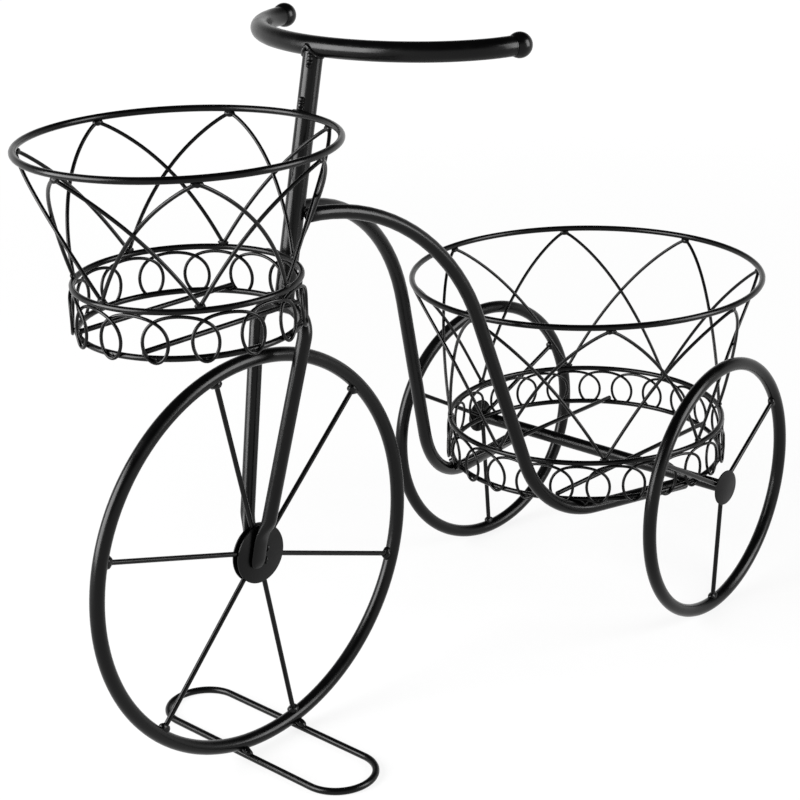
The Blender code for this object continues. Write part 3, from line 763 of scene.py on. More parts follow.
# %% [markdown]
# ## Wire on a formula
#
# The handlebar follows part of an ellipse, and the basket wires swing and twist as they go round. Such a
# line has no single bend centre, so spinning can't make it. A curve can: a formula gives its points, a
# round bevel gives the wire its thickness, and converting the curve makes it a mesh like the others.

# %% Make the wire sweeper
def swept_wire(name, places, diameter, sides, closed=False, swells=None):
    """A round wire through places; swells holds how much thicker or thinner it is at each place."""
    curve = bpy.data.curves.new(name, 'CURVE')
    curve.dimensions = '3D'
    curve.bevel_depth = diameter / 2
    curve.bevel_resolution = (sides - 4) // 2
    curve.use_fill_caps = not closed
    spline = curve.splines.new('POLY')
    spline.points.add(len(places) - 1)
    for number, (knot, place) in enumerate(zip(spline.points, places)):
        knot.co = (*place, 1)
        if swells:
            knot.radius = swells[number]
    spline.use_cyclic_u = closed
    piece = bpy.data.objects.new(name, curve)
    bpy.context.scene.collection.objects.link(piece)
    choose(piece)
    bpy.ops.object.convert(target='MESH')
    bpy.ops.object.mode_set(mode='EDIT')
    close_tube()
    return piece


print("A swept wire has an even number of sides, from 4 up")

# %% [markdown]
# ## The handlebar
#
# The handlebar is a tube bent to part of an ellipse, with its ends swept back past the basket. The column
# meets it at the ellipse's front, so its points are counted to both sides from there.

# %% Build the handlebar
HANDLEBAR_SEMI_LENGTH = 0.0995
HANDLEBAR_SEMI_WIDTH = 0.1295
HANDLEBAR_REACH = 0.084
HANDLEBAR_STEPS = 96
HANDLEBAR_SIDES = 28


def handlebar_place(angle):
    """A point on the handlebar's middle line, at an angle round its ellipse from the column."""
    return on_column(bar_run) + Vector((HANDLEBAR_SEMI_LENGTH * (1 - math.cos(angle)),
                                        HANDLEBAR_SEMI_WIDTH * math.sin(angle), 0))


bar_end = math.acos(1 - HANDLEBAR_REACH / HANDLEBAR_SEMI_LENGTH)
bar_places = [handlebar_place(bar_end * (2 * step / HANDLEBAR_STEPS - 1))
              for step in range(HANDLEBAR_STEPS + 1)]
bar_tube = swept_wire("handlebar_tube", bar_places, WIDE_TUBE, HANDLEBAR_SIDES)
dress(bar_tube, gloss_coat, "handlebar")
print("The handlebar is", round(2000 * bar_places[-1].y + 1000 * WIDE_TUBE), "mm wide over its tips")

# %% [markdown]
# ## Ball caps
#
# Each end of the handlebar is closed by a ball cap with a short neck. A ball primitive is cut open by
# bisect where it meets the tube. Its open rim is then drawn in for the groove that shows as a dark line,
# and out again for the collar.

# %% Build the ball caps
CAP_BALL = 0.0203
CAP_SEGMENTS = 40
CAP_RINGS = 26
CAP_COLLAR = 0.0015
CAP_GROOVE = 0.0007
CAP_GROOVE_WIDTH = CAP_COLLAR / 3


def ball_cap(name, tip, outward):
    """A ball, a groove and a collar, turned about the tube's own axis."""
    ball = CAP_BALL / 2
    collar = WIDE_TUBE / 2
    start = tip + outward * (WELD_GAP + CAP_COLLAR)
    centre = start + outward * math.sqrt(ball ** 2 - collar ** 2)
    facing = Vector((0, 0, 1)).rotation_difference(outward).to_euler()
    clear_selection()
    bpy.ops.mesh.primitive_uv_sphere_add(segments=CAP_SEGMENTS, ring_count=CAP_RINGS, radius=ball,
                                         location=centre, rotation=facing)
    piece = bpy.context.object
    piece.name = name
    bpy.ops.object.transform_apply(location=True, rotation=True, scale=True)
    bpy.ops.object.mode_set(mode='EDIT')
    bpy.ops.mesh.select_all(action='SELECT')
    bpy.ops.mesh.bisect(plane_co=start, plane_no=outward, clear_inner=True)
    inwards = (collar - CAP_GROOVE) / collar
    neck = ((inwards, 0), (1, CAP_GROOVE_WIDTH), (1 / inwards, 0), (1, CAP_COLLAR - CAP_GROOVE_WIDTH))
    for size, step in neck:
        bpy.ops.mesh.extrude_region_move(TRANSFORM_OT_translate={"value": tuple(-outward * step)})
        bpy.ops.transform.resize(value=(size, size, size), center_override=tuple(start))
    close_tube()
    return piece


for side, tip, inner in (("left", bar_places[0], bar_places[1]), ("right", bar_places[-1], bar_places[-2])):
    cap = ball_cap(f"ball_cap_{side}", tip, (tip - inner).normalized())
    dress(cap, gloss_coat, f"handlebar_cap_{side}")
print("The balls are", round(1000 * CAP_BALL, 1), "mm thick")

# %% [markdown]
# ## Frame rails
#
# Two rails run side by side from the column, spread apart, drop in a wide bend and pass under the axle.
# Each is bent by the same three straight runs and two bends. The front ends begin inside the column, so
# they are trimmed and then coped against it. A shallow notch seats the rear ends under the axle.

# %% Bend the rails
RAIL_START_RISE = 0.0643
RAIL_START_HALF_WIDTH = 0.0103
RAIL_SHOULDER_REACH = 0.1308
RAIL_SHOULDER_RISE = 0.0025
RAIL_SHOULDER_HALF_WIDTH = 0.0297
RAIL_SHOULDER_RADIUS = 0.1717
RAIL_HEEL_SETBACK = 0.1635
RAIL_HEEL_RISE = 0.0092
RAIL_HEEL_HALF_WIDTH = 0.067
RAIL_HEEL_RADIUS = 0.0861
RAIL_END_HALF_WIDTH = 0.101
RAIL_END_OVERRUN = 0.004
RAIL_END_NOTCH = 0.003
RAIL_TRIM = 0.005
RAIL_RIM_ROUND = 0.0008

axle = middle("rear_axle")
rail_start_z = on_column(column_foot_run).z + RAIL_START_RISE
rail_end_z = axle.z - STOCK_TUBE + RAIL_END_NOTCH
rail_lines = {}


def column_x(height):
    """Where the steering axis is along X at a height."""
    foot = on_column(0)
    return foot.x + (height - foot.z) * math.tan(RAKE)


def bend_rail(name, side):
    """One rail; side is -1 for the left one and 1 for the right one."""
    start = Vector((column_x(rail_start_z), side * RAIL_START_HALF_WIDTH, rail_start_z))
    shoulder = start + Vector((RAIL_SHOULDER_REACH, 0, RAIL_SHOULDER_RISE))
    shoulder.y = side * RAIL_SHOULDER_HALF_WIDTH
    heel = Vector((axle.x - RAIL_HEEL_SETBACK, side * RAIL_HEEL_HALF_WIDTH, rail_end_z + RAIL_HEEL_RISE))
    under_axle = Vector((axle.x, side * RAIL_END_HALF_WIDTH, rail_end_z))
    end = under_axle + (under_axle - heel).normalized() * RAIL_END_OVERRUN
    rail_lines[side] = (start, shoulder, heel, end)
    piece = bent_tube(name, rail_lines[side], [RAIL_SHOULDER_RADIUS, RAIL_HEEL_RADIUS], STOCK_TUBE)
    choose(piece)
    bpy.ops.object.mode_set(mode='EDIT')
    bpy.ops.mesh.select_all(action='SELECT')
    bpy.ops.mesh.bisect(plane_co=start + Vector((RAIL_TRIM, 0, 0)), plane_no=(1, 0, 0), use_fill=True,
                        clear_inner=True)
    bpy.ops.object.mode_set(mode='OBJECT')
    soften_rims(piece, RAIL_RIM_ROUND)
    cope(piece, on_column(column_foot_run), steer_up, WIDE_TUBE)
    cope(piece, axle, across, STOCK_TUBE)
    return piece


for side, sign in SIDES.items():
    dress(bend_rail(f"rail_tube_{side}", sign), gloss_coat, f"frame_rail_{side}")
print("The rails start", round(1000 * RAIL_START_RISE), "mm above the column's foot")

# %% [markdown]
# ## The rear axle
#
# The axle is one straight tube that lies in the rails' notches, and the rear wheels' rods are welded to it.
# No bearing turns on it, so a plain tube is all that it is.

# %% Build the axle
axle_low, axle_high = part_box("rear_axle")
axle_start = Vector((axle.x, axle_low.y, axle.z))
axle_length = Vector((0, axle_high.y - axle_low.y, 0))
dress(straight_tube("rear_axle_tube", axle_start, axle_length, STOCK_TUBE), gloss_coat, "rear_axle")
print("The axle is", round(axle_length.y * 1000), "mm long")

# %% [markdown]
# ## The rear wheels
#
# The rear wheels stand a little askew: they toe in and lean by a degree or so. A stance matrix turns each
# rim and its three spokes together, and the spokes start at the axle, which sits just above the middle.

# %% Build the rear wheels
REAR_WHEEL_RADIUS = 0.118
REAR_HALF_TRACK = 0.142
REAR_TOE = math.radians(4.2)
REAR_CAMBER = math.radians(0.88)
REAR_SPOKES = 3
REAR_SPOKE_PHASE = math.radians(-90)
REAR_DISH = 0.0048
REAR_AXLE_RISE = 0.0025

rear_spoke_tips = []
for side, sign in SIDES.items():
    stance = Matrix.Rotation(-sign * REAR_TOE, 3, 'Z') @ Matrix.Rotation(-sign * REAR_CAMBER, 3, 'X')
    centre = Vector((axle.x, sign * REAR_HALF_TRACK, axle.z - REAR_AXLE_RISE))
    hub = Vector((axle.x, sign * (REAR_HALF_TRACK + REAR_DISH), axle.z))
    rim = bent_ring(f"rear_rim_tube_{side}", centre, REAR_WHEEL_RADIUS, STOCK_TUBE, stance @ upright,
                    RIM_STEPS, TUBE_SIDES)
    dress(rim, gloss_coat, f"rear_wheel_rim_{side}")
    for number in range(REAR_SPOKES):
        angle = REAR_SPOKE_PHASE + 2 * math.pi * number / REAR_SPOKES
        outward = stance @ outward_at(angle)
        tip = centre + outward * (REAR_WHEEL_RADIUS - STOCK_TUBE / 2 - WELD_GAP)
        root = hub + (tip - hub).normalized() * (STOCK_TUBE / 2 + WELD_GAP)
        rear_spoke_tips.append((tip, (tip - hub).normalized()))
        name = f"rear_spoke_rod_{side}_{number + 1}"
        rod = straight_tube(name, root, tip - root, COATED_SPOKE, SPOKE_SIDES)
        dress(rod, wire_coat, f"rear_wheel_spoke_{side}_{number + 1}")
    plate = hub_plate(f"rear_hub_disc_{side}", f"rear_hub_plate_{side}")
    dress(plate, plate_coat, f"rear_hub_plate_{side}")
print("The rear wheels are", round(2000 * REAR_WHEEL_RADIUS + 1000 * STOCK_TUBE), "mm across")

# %% [markdown]
# ## The baskets' rings and floor bars
#
# Each basket hangs on three rings: a thick one at the top, a thinner one where the lattice ends, and one
# at the bottom. Two bars across the bottom ring carry the pot. All their sizes can be read from the
# frame's boxes, so both baskets share the same few lines.

# %% Build the rings and floor bars
TOP_RING_WIRE = 0.0055
RING_WIRE = 0.0045
RING_WIRES = {"top": TOP_RING_WIRE, "band": RING_WIRE, "bottom": RING_WIRE}
RING_STEPS = 128
FLOOR_BAR_WIRE = 0.004
FLOOR_BAR_ROUND = 0.0006

basket_rings = {}


def build_ring(basket, level, wire):
    """One ring, read from its frame piece's box; thin wire also gets the coat's thickness."""
    node = f"{basket}_{level}_ring"
    low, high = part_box(node)
    centre = (low + high) / 2
    radius = (high.x - low.x - wire) / 2
    basket_rings[basket, level] = (centre, radius)
    thickness = wire if level == "top" else wire + 2 * COAT_BUILD
    ring = bent_ring(f"{node}_wire", centre, radius, thickness, Matrix.Identity(3), RING_STEPS, WIRE_SIDES)
    dress(ring, wire_coat, node)


def build_floor_bar(basket, number):
    """A straight bar along X with softened ends."""
    node = f"{basket}_floor_bar_{number}"
    low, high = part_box(node)
    start = Vector((low.x, (low.y + high.y) / 2, (low.z + high.z) / 2))
    length = Vector((high.x - low.x, 0, 0))
    thickness = FLOOR_BAR_WIRE + 2 * COAT_BUILD
    bar = straight_tube(f"{basket}_floor_rod_{number}", start, length, thickness, WIRE_SIDES)
    soften_rims(bar, FLOOR_BAR_ROUND)
    dress(bar, wire_coat, node)


for basket in ("front_basket", "rear_basket"):
    for level, wire in RING_WIRES.items():
        build_ring(basket, level, wire)
    for number in (1, 2):
        build_floor_bar(basket, number)
    basket_width = 2 * basket_rings[basket, "top"][1] + TOP_RING_WIRE
    print(basket, "is", round(1000 * basket_width), "mm across at the top")

# %% [markdown]
# ## The lattice
#
# The lattice is zigzag wire: it drops from a peak under the top ring to a foot on the band ring, and
# climbs to the next peak but one. Legs of the two hands cross half way down. One wire passes outside the
# other there, by half a wire each, and all legs bow a little inwards, as wire does when it is sprung
# between two rings. Each leg steepens on its way down. It is rounded a little at its peak and at its foot,
# and its points crowd together there, where the wire bends tightly.

# %% Shape one leg
LATTICE_WIRE = 0.0028
LATTICE_STRAIGHT_SHARE = 0.65
LATTICE_PEAK_SHARE = 0.03
LATTICE_FOOT_SHARE = 0.018
LEG_STEPS = 30


def around(centre, radius, angle, height):
    """A point on a circle about a basket's axis."""
    return Vector((centre.x + radius * math.cos(angle), centre.y + radius * math.sin(angle), height))


def softened(share, rounding):
    """Runs from 0 to 1 as share does, but starts level, which rounds a corner."""
    return (math.hypot(share, rounding) - rounding) / (math.hypot(1, rounding) - rounding)


def lattice_leg(centre, top, band, bow, peak_angle, pitch, hand):
    """The points of one leg from peak to foot; it turns towards larger angles when hand is 1."""
    clear = (LATTICE_WIRE + WELD_GAP) / 2
    whole = LATTICE_STRAIGHT_SHARE * (math.hypot(1, LATTICE_PEAK_SHARE) - LATTICE_PEAK_SHARE)
    whole += 1 - LATTICE_STRAIGHT_SHARE
    leg = []
    for step in range(LEG_STEPS + 1):
        share = (1 - math.cos(math.pi * step / LEG_STEPS)) / 2
        peak = math.hypot(share, LATTICE_PEAK_SHARE) - LATTICE_PEAK_SHARE
        drop = LATTICE_STRAIGHT_SHARE * peak + (1 - LATTICE_STRAIGHT_SHARE) * share ** 2
        drop = 1 - softened(1 - drop / whole, LATTICE_FOOT_SHARE)
        outward = (hand * clear - bow) * math.sin(math.pi * share)
        radius = top[0] + (band[0] - top[0]) * drop + outward
        height = top[1] + (band[1] - top[1]) * drop
        leg.append(around(centre, radius, peak_angle + hand * pitch * share, height))
    return leg


print("A leg has", LEG_STEPS + 1, "points")

# %% [markdown]
# ## Closing the zigzag
#
# Each wire goes round until it meets its own start. With seven peaks one wire needs two rounds to do that,
# so the front basket has a single wire. With eight peaks every wire closes after one round, so the rear
# basket has two, which start one peak apart.

# %% Bend the lattice
LATTICE_SIDES = 12


def lattice_places(centre, top, band, bow, first_angle, pitch, legs):
    """A closed zigzag: down one leg, up the next, and so on round the basket."""
    places = []
    for number in range(legs):
        if number % 2 == 0:
            leg = lattice_leg(centre, top, band, bow, first_angle + pitch * number, pitch, 1)
        else:
            leg = lattice_leg(centre, top, band, bow, first_angle + pitch * (number + 1), pitch, -1)
            leg.reverse()
        places += leg[:-1]
    return places


LATTICES = {"front_basket": (7, math.radians(29.5), 0.006), "rear_basket": (8, math.radians(0.7), 0.009)}
lattice_joints = {}
for basket, (peaks, phase, bow) in LATTICES.items():
    pitch = 2 * math.pi / peaks
    top_centre, top_radius = basket_rings[basket, "top"]
    band_centre, band_radius = basket_rings[basket, "band"]
    top = (top_radius, top_centre.z - (TOP_RING_WIRE + LATTICE_WIRE) / 2 - WELD_GAP)
    band = (band_radius, band_centre.z + (RING_WIRE + LATTICE_WIRE) / 2 + WELD_GAP)
    angles = [phase + pitch * number for number in range(peaks)]
    lattice_joints[basket] = (top, band, angles)
    if peaks % 2:
        wires = [(f"{basket}_lattice", phase, 2 * peaks)]
    else:
        wires = [(f"{basket}_lattice_{number + 1}", phase + pitch * number, peaks) for number in (0, 1)]
    for node, first_angle, legs in wires:
        places = lattice_places(top_centre, top, band, bow, first_angle, pitch, legs)
        wire = swept_wire(f"{node}_wire", places, LATTICE_WIRE + 2 * COAT_BUILD, LATTICE_SIDES, True)
        dress(wire, wire_coat, node)
    print(basket, "has", peaks, "lattice peaks")

# %% [markdown]
# ## The scroll band
#
# Between the two lower rings runs a wire of hanging loops. A point that swings to and fro while it goes
# round, and sinks as it swings, draws such loops, like the path of a valve on a rolling wheel. Where the
# wire crosses itself, it is pushed half a wire out or in, so that it passes and doesn't cut.

# %% Find the crossing
SCROLL_SWING = 0.018
HALVINGS = 40


def crossing_turn(steady):
    """How far through its swing a loop's wire crosses itself, found by halving the interval."""
    low = math.acos(min(1, steady / SCROLL_SWING)) / 4
    high = math.pi / 2
    for _ in range(HALVINGS):
        half_way = (low + high) / 2
        if steady * (half_way - math.pi) + SCROLL_SWING * math.sin(half_way) < 0:
            low = half_way
        else:
            high = half_way
    return high


print("Halving the interval", HALVINGS, "times finds the crossing to a billionth of a turn")

# %% [markdown]
# ## Bending the loops
#
# The loops hang from just under the band ring to just past the bottom ring, and clear both rings by half of
# each wire. Between two loops the real wire runs flat for a while, so the rise and fall is flattened a
# little at the top. On its way down the wire also moves in from the band ring to the smaller bottom ring.

# %% Bend the scroll bands
SCROLL_WIRE = 0.0024
SCROLL_SIDES = 10
SCROLL_FLAT_SHARE = 0.1
SCROLL_DROP = 0.0022
LOOP_STEPS = 44


def scroll_places(basket, loops, phase):
    """A closed wire of hanging loops joined by flat arcs."""
    centre, band_radius = basket_rings[basket, "band"]
    bottom_centre, bottom_radius = basket_rings[basket, "bottom"]
    standoff = RING_WIRE / 2 + WELD_GAP + SCROLL_WIRE / 2
    top_z = centre.z - standoff
    foot_z = bottom_centre.z - SCROLL_DROP
    half_height = (top_z - foot_z) / 2
    middle_z = top_z - half_height * (1 - SCROLL_FLAT_SHARE)
    foot_radius = bottom_radius + standoff
    steady = foot_radius / loops
    crossing = crossing_turn(steady)
    bulge = (SCROLL_WIRE + WELD_GAP) / 2 / (math.sin(crossing) * ((1 + math.cos(crossing)) / 2) ** 2)
    places = []
    for number in range(loops * LOOP_STEPS):
        turn = 2 * math.pi * number / LOOP_STEPS
        along = steady * (turn - math.pi) + SCROLL_SWING * math.sin(turn)
        raised = ((1 + math.cos(turn)) / 2) ** 2
        radius = foot_radius + (band_radius - foot_radius) * raised + bulge * math.sin(turn) * raised
        height = middle_z + half_height * (math.cos(turn) - SCROLL_FLAT_SHARE * math.cos(2 * turn))
        places.append(around(centre, radius, phase + along / foot_radius, height))
    return places


SCROLLS = {"front_basket": (15, math.radians(-99.1)), "rear_basket": (25, math.radians(-122.4))}
scroll_feet = {}
for basket, (loops, phase) in SCROLLS.items():
    places = scroll_places(basket, loops, phase)
    scroll_feet[basket] = places[LOOP_STEPS // 2::LOOP_STEPS]
    node = f"{basket}_scroll_band"
    wire = swept_wire(f"{node}_wire", places, SCROLL_WIRE + 2 * COAT_BUILD, SCROLL_SIDES, True)
    dress(wire, wire_coat, node)
    print(basket, "has", loops, "loops")

# %% [markdown]
# ## Welds
#
# A coat of powder doesn't hide a weld. Round each tube's end runs a rippled bead. The bead's line is where
# two round tubes meet: a circle round the branch whose points slide along it until they lie on the base
# tube. The ripples come from thickening and thinning the bead as it goes, and from noise, so that no two
# beads look alike.

# %% Lay beads
BEAD_STEP = 0.0006
BEAD_SIDES = 10
BEAD_UNEVEN_SHARE = 0.35
BEAD_UNEVEN_PACE = 300
RIPPLE_LENGTH = 0.0014
RIPPLE_SHARE = 0.12


def seam_places(start, branch, branch_radius, base_place, base, base_radius):
    """Points round a branch tube where it meets a base tube, counted along both tubes' middle lines."""
    level = branch.orthogonal().normalized()
    side = branch.cross(level)
    flat_branch = branch - base * branch.dot(base)
    square = flat_branch.length_squared
    steps = round(2 * math.pi * branch_radius / BEAD_STEP)
    places = []
    for step in range(steps):
        turn = 2 * math.pi * step / steps
        rim_place = start + (level * math.cos(turn) + side * math.sin(turn)) * branch_radius
        away = rim_place - base_place
        away -= base * away.dot(base)
        inner = away.dot(flat_branch)
        under_root = inner ** 2 - square * (away.length_squared - base_radius ** 2)
        places.append(rim_place + branch * ((math.sqrt(max(under_root, 0)) - inner) / square))
    return places


def lay_bead(places, bead):
    """A closed, rippled bead through places."""
    travelled = 0
    swells = []
    for number, place in enumerate(places):
        travelled += (place - places[number - 1]).length if number else 0
        ripple = RIPPLE_SHARE * math.sin(2 * math.pi * travelled / RIPPLE_LENGTH)
        swells.append(1 + ripple + BEAD_UNEVEN_SHARE * noise.noise(place * BEAD_UNEVEN_PACE))
    return swept_wire("bead", places, bead, BEAD_SIDES, True, swells)


print("A bead ripples every", round(1000 * RIPPLE_LENGTH, 1), "mm")

# %% [markdown]
# ## Drops of weld metal
#
# Where wires only touch, there is a lumpy drop. A ball primitive with even faces is pushed in and out by
# noise, and then stretched along the joint. The noise is read at places far apart, so that drops that lie
# close together still differ. Beads and drops of one joint are joined into one piece at the end.

# %% Lay drops
DROP_SUBDIVISIONS = 3
DROP_UNEVEN_SHARE = 0.22
DROP_UNEVEN_PACE = 3
DROP_SPREAD = 500


def lay_drop(place, along, size):
    """A drop of weld metal, longest along one direction, with an uneven skin."""
    clear_selection()
    bpy.ops.mesh.primitive_ico_sphere_add(subdivisions=DROP_SUBDIVISIONS, radius=0.5)
    drop = bpy.context.object
    for vertex in drop.data.vertices:
        skin = noise.noise(vertex.co * DROP_UNEVEN_PACE + place * DROP_SPREAD)
        vertex.co *= 1 + DROP_UNEVEN_SHARE * skin
    drop.scale = size
    drop.location = place
    drop.rotation_mode = 'QUATERNION'
    drop.rotation_quaternion = Vector((0, 0, 1)).rotation_difference(along)
    bpy.ops.object.transform_apply(location=True, rotation=True, scale=True)
    return drop


def gather_welds(name, welds):
    """Joins beads and drops into one piece, which hangs under the root body and hides no frame piece."""
    clear_selection()
    for weld in welds:
        weld.select_set(True)
    bpy.context.view_layer.objects.active = welds[0]
    bpy.ops.object.join()
    welds[0].name = name
    coat_piece(welds[0], weld_coat)
    print(name, "is made of", len(welds), "beads and drops")


print("A drop's skin goes in and out by up to", DROP_UNEVEN_SHARE, "of its size")

# %% [markdown]
# ## Welds on the front wheel
#
# Each spoke has a bead and a drop where it meets the rim. The rim crosses both rods of the foot loop, and
# at each crossing two drops slant down on either side of it. All sizes of drops are given as width, depth
# and length.

# %% Weld the front wheel
ROD_BEAD = 0.0022
SPOKE_DROP = (0.0086, 0.0084, 0.0112)
FOOT_DROP = (0.0068, 0.0064, 0.0125)
FOOT_DROP_ASIDE = 0.0068
FOOT_DROP_RISE = 0.0012
FOOT_DROP_SLANT = 0.5

wheel_welds = []
for tip, outward in front_spoke_tips:
    rim_middle = tip + outward * (STOCK_TUBE / 2 + WELD_GAP)
    tangent = outward.cross(across)
    seam = seam_places(rim_middle, -outward, SPOKE_ROD / 2, rim_middle, tangent, STOCK_TUBE / 2)
    wheel_welds.append(lay_bead(seam, ROD_BEAD))
    wheel_welds.append(lay_drop(tip, tangent, SPOKE_DROP))
for way in (-1, 1):
    foot_contact = foot_middle + Vector((way * foot_half_spacing, 0, FOOT_ROD / 2))
    for side in (-1, 1):
        place = foot_contact + Vector((0, side * FOOT_DROP_ASIDE, FOOT_DROP_RISE))
        wheel_welds.append(lay_drop(place, Vector((0, 1, -FOOT_DROP_SLANT * side)), FOOT_DROP))
gather_welds("front_wheel_welds", wheel_welds)

# %% [markdown]
# ## Welds on the column
#
# A bead runs round the column on the crown, and another under the handlebar. Below that one, more metal
# was laid on two sides of the column, which shows as two short stacks of drops.

# %% Weld the column
TUBE_BEAD = 0.0034
STACK_TURNS = (-62, 118)
STACK_START = 0.0015
STACK_SHARE = 0.48
STACK_RUNS = (-0.004, -0.0012, 0.0016, 0.0042)
STACK_DROP = (0.005, 0.0052, 0.0044)

frame_welds = []
for run, towards, base_tube in ((crown_run, steer_up, STOCK_TUBE), (bar_run, -steer_up, WIDE_TUBE)):
    joint = on_column(run)
    seam = seam_places(joint, towards, WIDE_TUBE / 2, joint, across, base_tube / 2)
    frame_welds.append(lay_bead(seam, TUBE_BEAD))
for turn in STACK_TURNS:
    facing = Vector((math.sin(math.radians(turn)), -math.cos(math.radians(turn)), 0))
    place = on_column(column_top_run - STACK_START) + facing * WIDE_TUBE * STACK_SHARE
    for run in STACK_RUNS:
        frame_welds.append(lay_drop(place + steer_up * run, steer_up, STACK_DROP))
print("The column has", len(frame_welds), "beads and drops")

# %% [markdown]
# ## Welds on the rails
#
# Each rail has a row of drops along its seam with the column, and a larger one on its inner side, where
# the two rails nearly touch. Two more sit where its other end seats under the axle.

# %% Weld the rails
SEAM_STRIDE = 5
SEAM_DROP = (0.0042, 0.0038, 0.0046)
INNER_DROP_REACH = 0.0085
INNER_DROP_SHARE = 0.72
INNER_DROP = (0.008, 0.0075, 0.0105)
NOTCH_DROP_REACH = 0.0055
NOTCH_DROP_SINK = 0.0005
NOTCH_DROP = (0.0046, 0.0042, 0.0098)

for start, shoulder, heel, end in rail_lines.values():
    forward = (shoulder - start).normalized()
    seam = seam_places(start, forward, STOCK_TUBE / 2, on_column(column_foot_run), steer_up, WIDE_TUBE / 2)
    nearest = [place for place in seam if place.x > start.x + RAIL_TRIM]
    for place in nearest[::SEAM_STRIDE]:
        frame_welds.append(lay_drop(place, steer_up, SEAM_DROP))
    inner = start + forward * INNER_DROP_REACH
    inner.y *= INNER_DROP_SHARE
    frame_welds.append(lay_drop(inner, steer_up, INNER_DROP))
    notch = end - (end - heel).normalized() * RAIL_END_OVERRUN
    for way in (-1, 1):
        place = notch + Vector((way * NOTCH_DROP_REACH, 0, STOCK_TUBE / 2 - NOTCH_DROP_SINK))
        frame_welds.append(lay_drop(place, across, NOTCH_DROP))
gather_welds("frame_welds", frame_welds)

# %% [markdown]
# ## Welds on the hubs and rear wheels
#
# Small long drops lie beside the fork's pressed tips on the hub plates. On the rear wheels each rod has a
# drop at the rim and one at the axle, and a bead runs round the axle's end on each plate.

# %% Weld the hubs
HUB_DROP_RUNS = (-0.006, 0.004)
HUB_DROP_REACH = 0.0064
HUB_DROP_PROUD = 0.0012
HUB_DROP = (0.0026, 0.0026, 0.0062)
REAR_TIP_DROP = (0.0078, 0.0076, 0.0104)
REAR_ROOT_SINK = 0.0005
REAR_ROOT_DROP = (0.0055, 0.0055, 0.0045)
PLATE_BEAD_RADIUS = 0.0062
PLATE_BEAD_PROUD = 0.0004
PLATE_BEAD_STEPS = 16

hub_welds = []
for side, sign in SIDES.items():
    plate = middle(f"front_hub_plate_{side}")
    for run in HUB_DROP_RUNS:
        for way in (-1, 1):
            aside = steer_ahead * (way * HUB_DROP_REACH)
            place = plate + steer_up * run + aside + across * (sign * HUB_DROP_PROUD)
            hub_welds.append(lay_drop(place, steer_up, HUB_DROP))
gather_welds("front_hub_welds", hub_welds)

rear_welds = []
for tip, outward in rear_spoke_tips:
    rear_welds.append(lay_drop(tip, outward.cross(across), REAR_TIP_DROP))
    root = tip - outward * (REAR_WHEEL_RADIUS - STOCK_TUBE - REAR_ROOT_SINK)
    rear_welds.append(lay_drop(root, outward, REAR_ROOT_DROP))
for side, sign in SIDES.items():
    low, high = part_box(f"rear_hub_plate_{side}")
    hub = Vector((axle.x, high.y if sign < 0 else low.y, axle.z))
    turns = [2 * math.pi * step / PLATE_BEAD_STEPS for step in range(PLATE_BEAD_STEPS)]
    proud = across * (-sign * PLATE_BEAD_PROUD)
    circle = [hub + outward_at(turn) * PLATE_BEAD_RADIUS + proud for turn in turns]
    rear_welds.append(lay_bead(circle, ROD_BEAD))
gather_welds("rear_wheel_welds", rear_welds)

# %% [markdown]
# ## Welds among the basket wires
#
# Wires are only tacked: a drop at each peak and foot of the lattice, at each end of the floor bars, and a
# tiny one where each loop of the scroll touches the bottom ring.

# %% Tack the wires
PEAK_TACK_INSET = 0.0008
LATTICE_TACK_SHARE = 0.15
PEAK_TACK = (0.005, 0.0054, 0.0094)
FOOT_TACK = (0.0046, 0.0048, 0.0082)
BAR_TACK_INSET = 0.001
BAR_TACK = (0.0042, 0.0042, 0.0046)
LOOP_TACK = (0.0018, 0.0018, 0.0022)

straight_up = Vector((0, 0, 1))


def tack_wires(basket):
    """The drops that hold one basket's wires together."""
    drops = []
    top, band, angles = lattice_joints[basket]
    centre = basket_rings[basket, "top"][0]
    for angle in angles:
        tangent = Vector((-math.sin(angle), math.cos(angle), 0))
        peak = around(centre, top[0] - PEAK_TACK_INSET, angle, top[1] + LATTICE_WIRE * LATTICE_TACK_SHARE)
        foot = around(centre, band[0], angle, band[1] - LATTICE_WIRE * LATTICE_TACK_SHARE)
        drops.append(lay_drop(peak, tangent, PEAK_TACK))
        drops.append(lay_drop(foot, tangent, FOOT_TACK))
    for number in (1, 2):
        low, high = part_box(f"{basket}_floor_bar_{number}")
        for x in (low.x + BAR_TACK_INSET, high.x - BAR_TACK_INSET):
            place = Vector((x, (low.y + high.y) / 2, low.z))
            drops.append(lay_drop(place, Vector((1, 0, 0)), BAR_TACK))
    bottom_centre, bottom_radius = basket_rings[basket, "bottom"]
    for foot in scroll_feet[basket]:
        direction = Vector((foot.x - bottom_centre.x, foot.y - bottom_centre.y, 0)).normalized()
        place = bottom_centre + direction * (bottom_radius + RING_WIRE / 2)
        drops.append(lay_drop(place, straight_up, LOOP_TACK))
    return drops


print("A peak's drop is", 1000 * PEAK_TACK[2], "mm long, and a loop's is", 1000 * LOOP_TACK[2], "mm")

# %% [markdown]
# ## Welds that hold the baskets
#
# The front basket's three rings touch the column, with two drops at each, and a row of drops climbs the
# column from the top ring. The rear basket's bottom ring rests on the rails. Where each rail passes under
# it is found by stepping along the rail's last run.

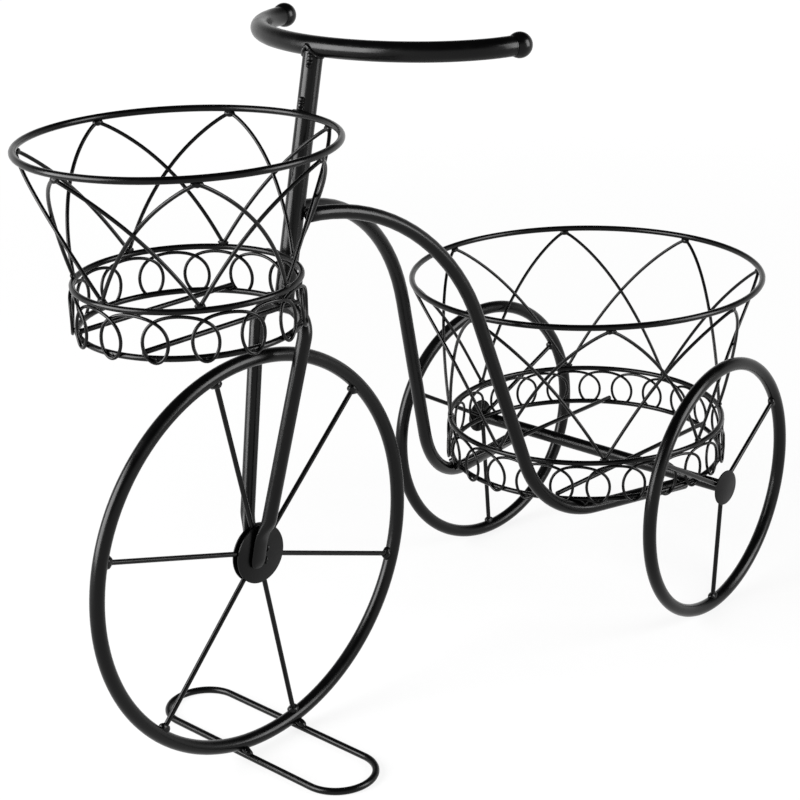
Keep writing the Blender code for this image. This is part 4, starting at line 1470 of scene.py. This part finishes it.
# %% Weld the baskets
CONTACT_SHARE = 0.35
CONTACT_ASIDE = 0.0042
CONTACT_DROP = (0.006, 0.005, 0.0088)
CLIMB_HEIGHTS = (0.0035, 0.006, 0.0085, 0.0105)
CLIMB_SHARE = 0.62
CLIMB_SLOPE = 0.24
CLIMB_ASIDE = -0.0012
CLIMB_DROP = (0.0046, 0.0052, 0.0042)
RAIL_SEARCH_STEPS = 80
REST_ASIDE = 0.004
REST_DROP = (0.005, 0.0046, 0.0082)


def weld_to_column():
    """The drops between the front basket's rings and the column."""
    drops = []
    for level, wire in RING_WIRES.items():
        centre, radius = basket_rings["front_basket", level]
        for side in (-1, 1):
            contact = centre + Vector((radius + wire * CONTACT_SHARE, side * CONTACT_ASIDE, 0))
            drops.append(lay_drop(contact, across, CONTACT_DROP))
    centre, radius = basket_rings["front_basket", "top"]
    for height in CLIMB_HEIGHTS:
        reach = radius + RING_WIRE * CLIMB_SHARE + height * CLIMB_SLOPE
        drops.append(lay_drop(centre + Vector((reach, CLIMB_ASIDE, height)), straight_up, CLIMB_DROP))
    return drops


def weld_to_rails():
    """The drops where the rear basket's bottom ring rests on the rails."""
    drops = []
    centre, radius = basket_rings["rear_basket", "bottom"]
    for start, shoulder, heel, end in rail_lines.values():
        steps = [heel + (end - heel) * step / RAIL_SEARCH_STEPS for step in range(RAIL_SEARCH_STEPS + 1)]
        near = min(steps, key=lambda place: abs((place - centre).xy.length - radius))
        near.z = centre.z - RING_WIRE / 2
        for way in (-1, 1):
            drops.append(lay_drop(near + across * way * REST_ASIDE, across, REST_DROP))
    return drops


for basket, weld_to_frame in (("front_basket", weld_to_column), ("rear_basket", weld_to_rails)):
    gather_welds(f"{basket}_welds", tack_wires(basket) + weld_to_frame())

# %% [markdown]
# ## The frame's size
#
# The new surfaces must not outgrow the frame. The frame's low and high corners are written down here, in
# mm.

# %% Write the frame's size
print("Frame", [round(value * 1000, 2) for value in (*cad_low, *cad_high)])
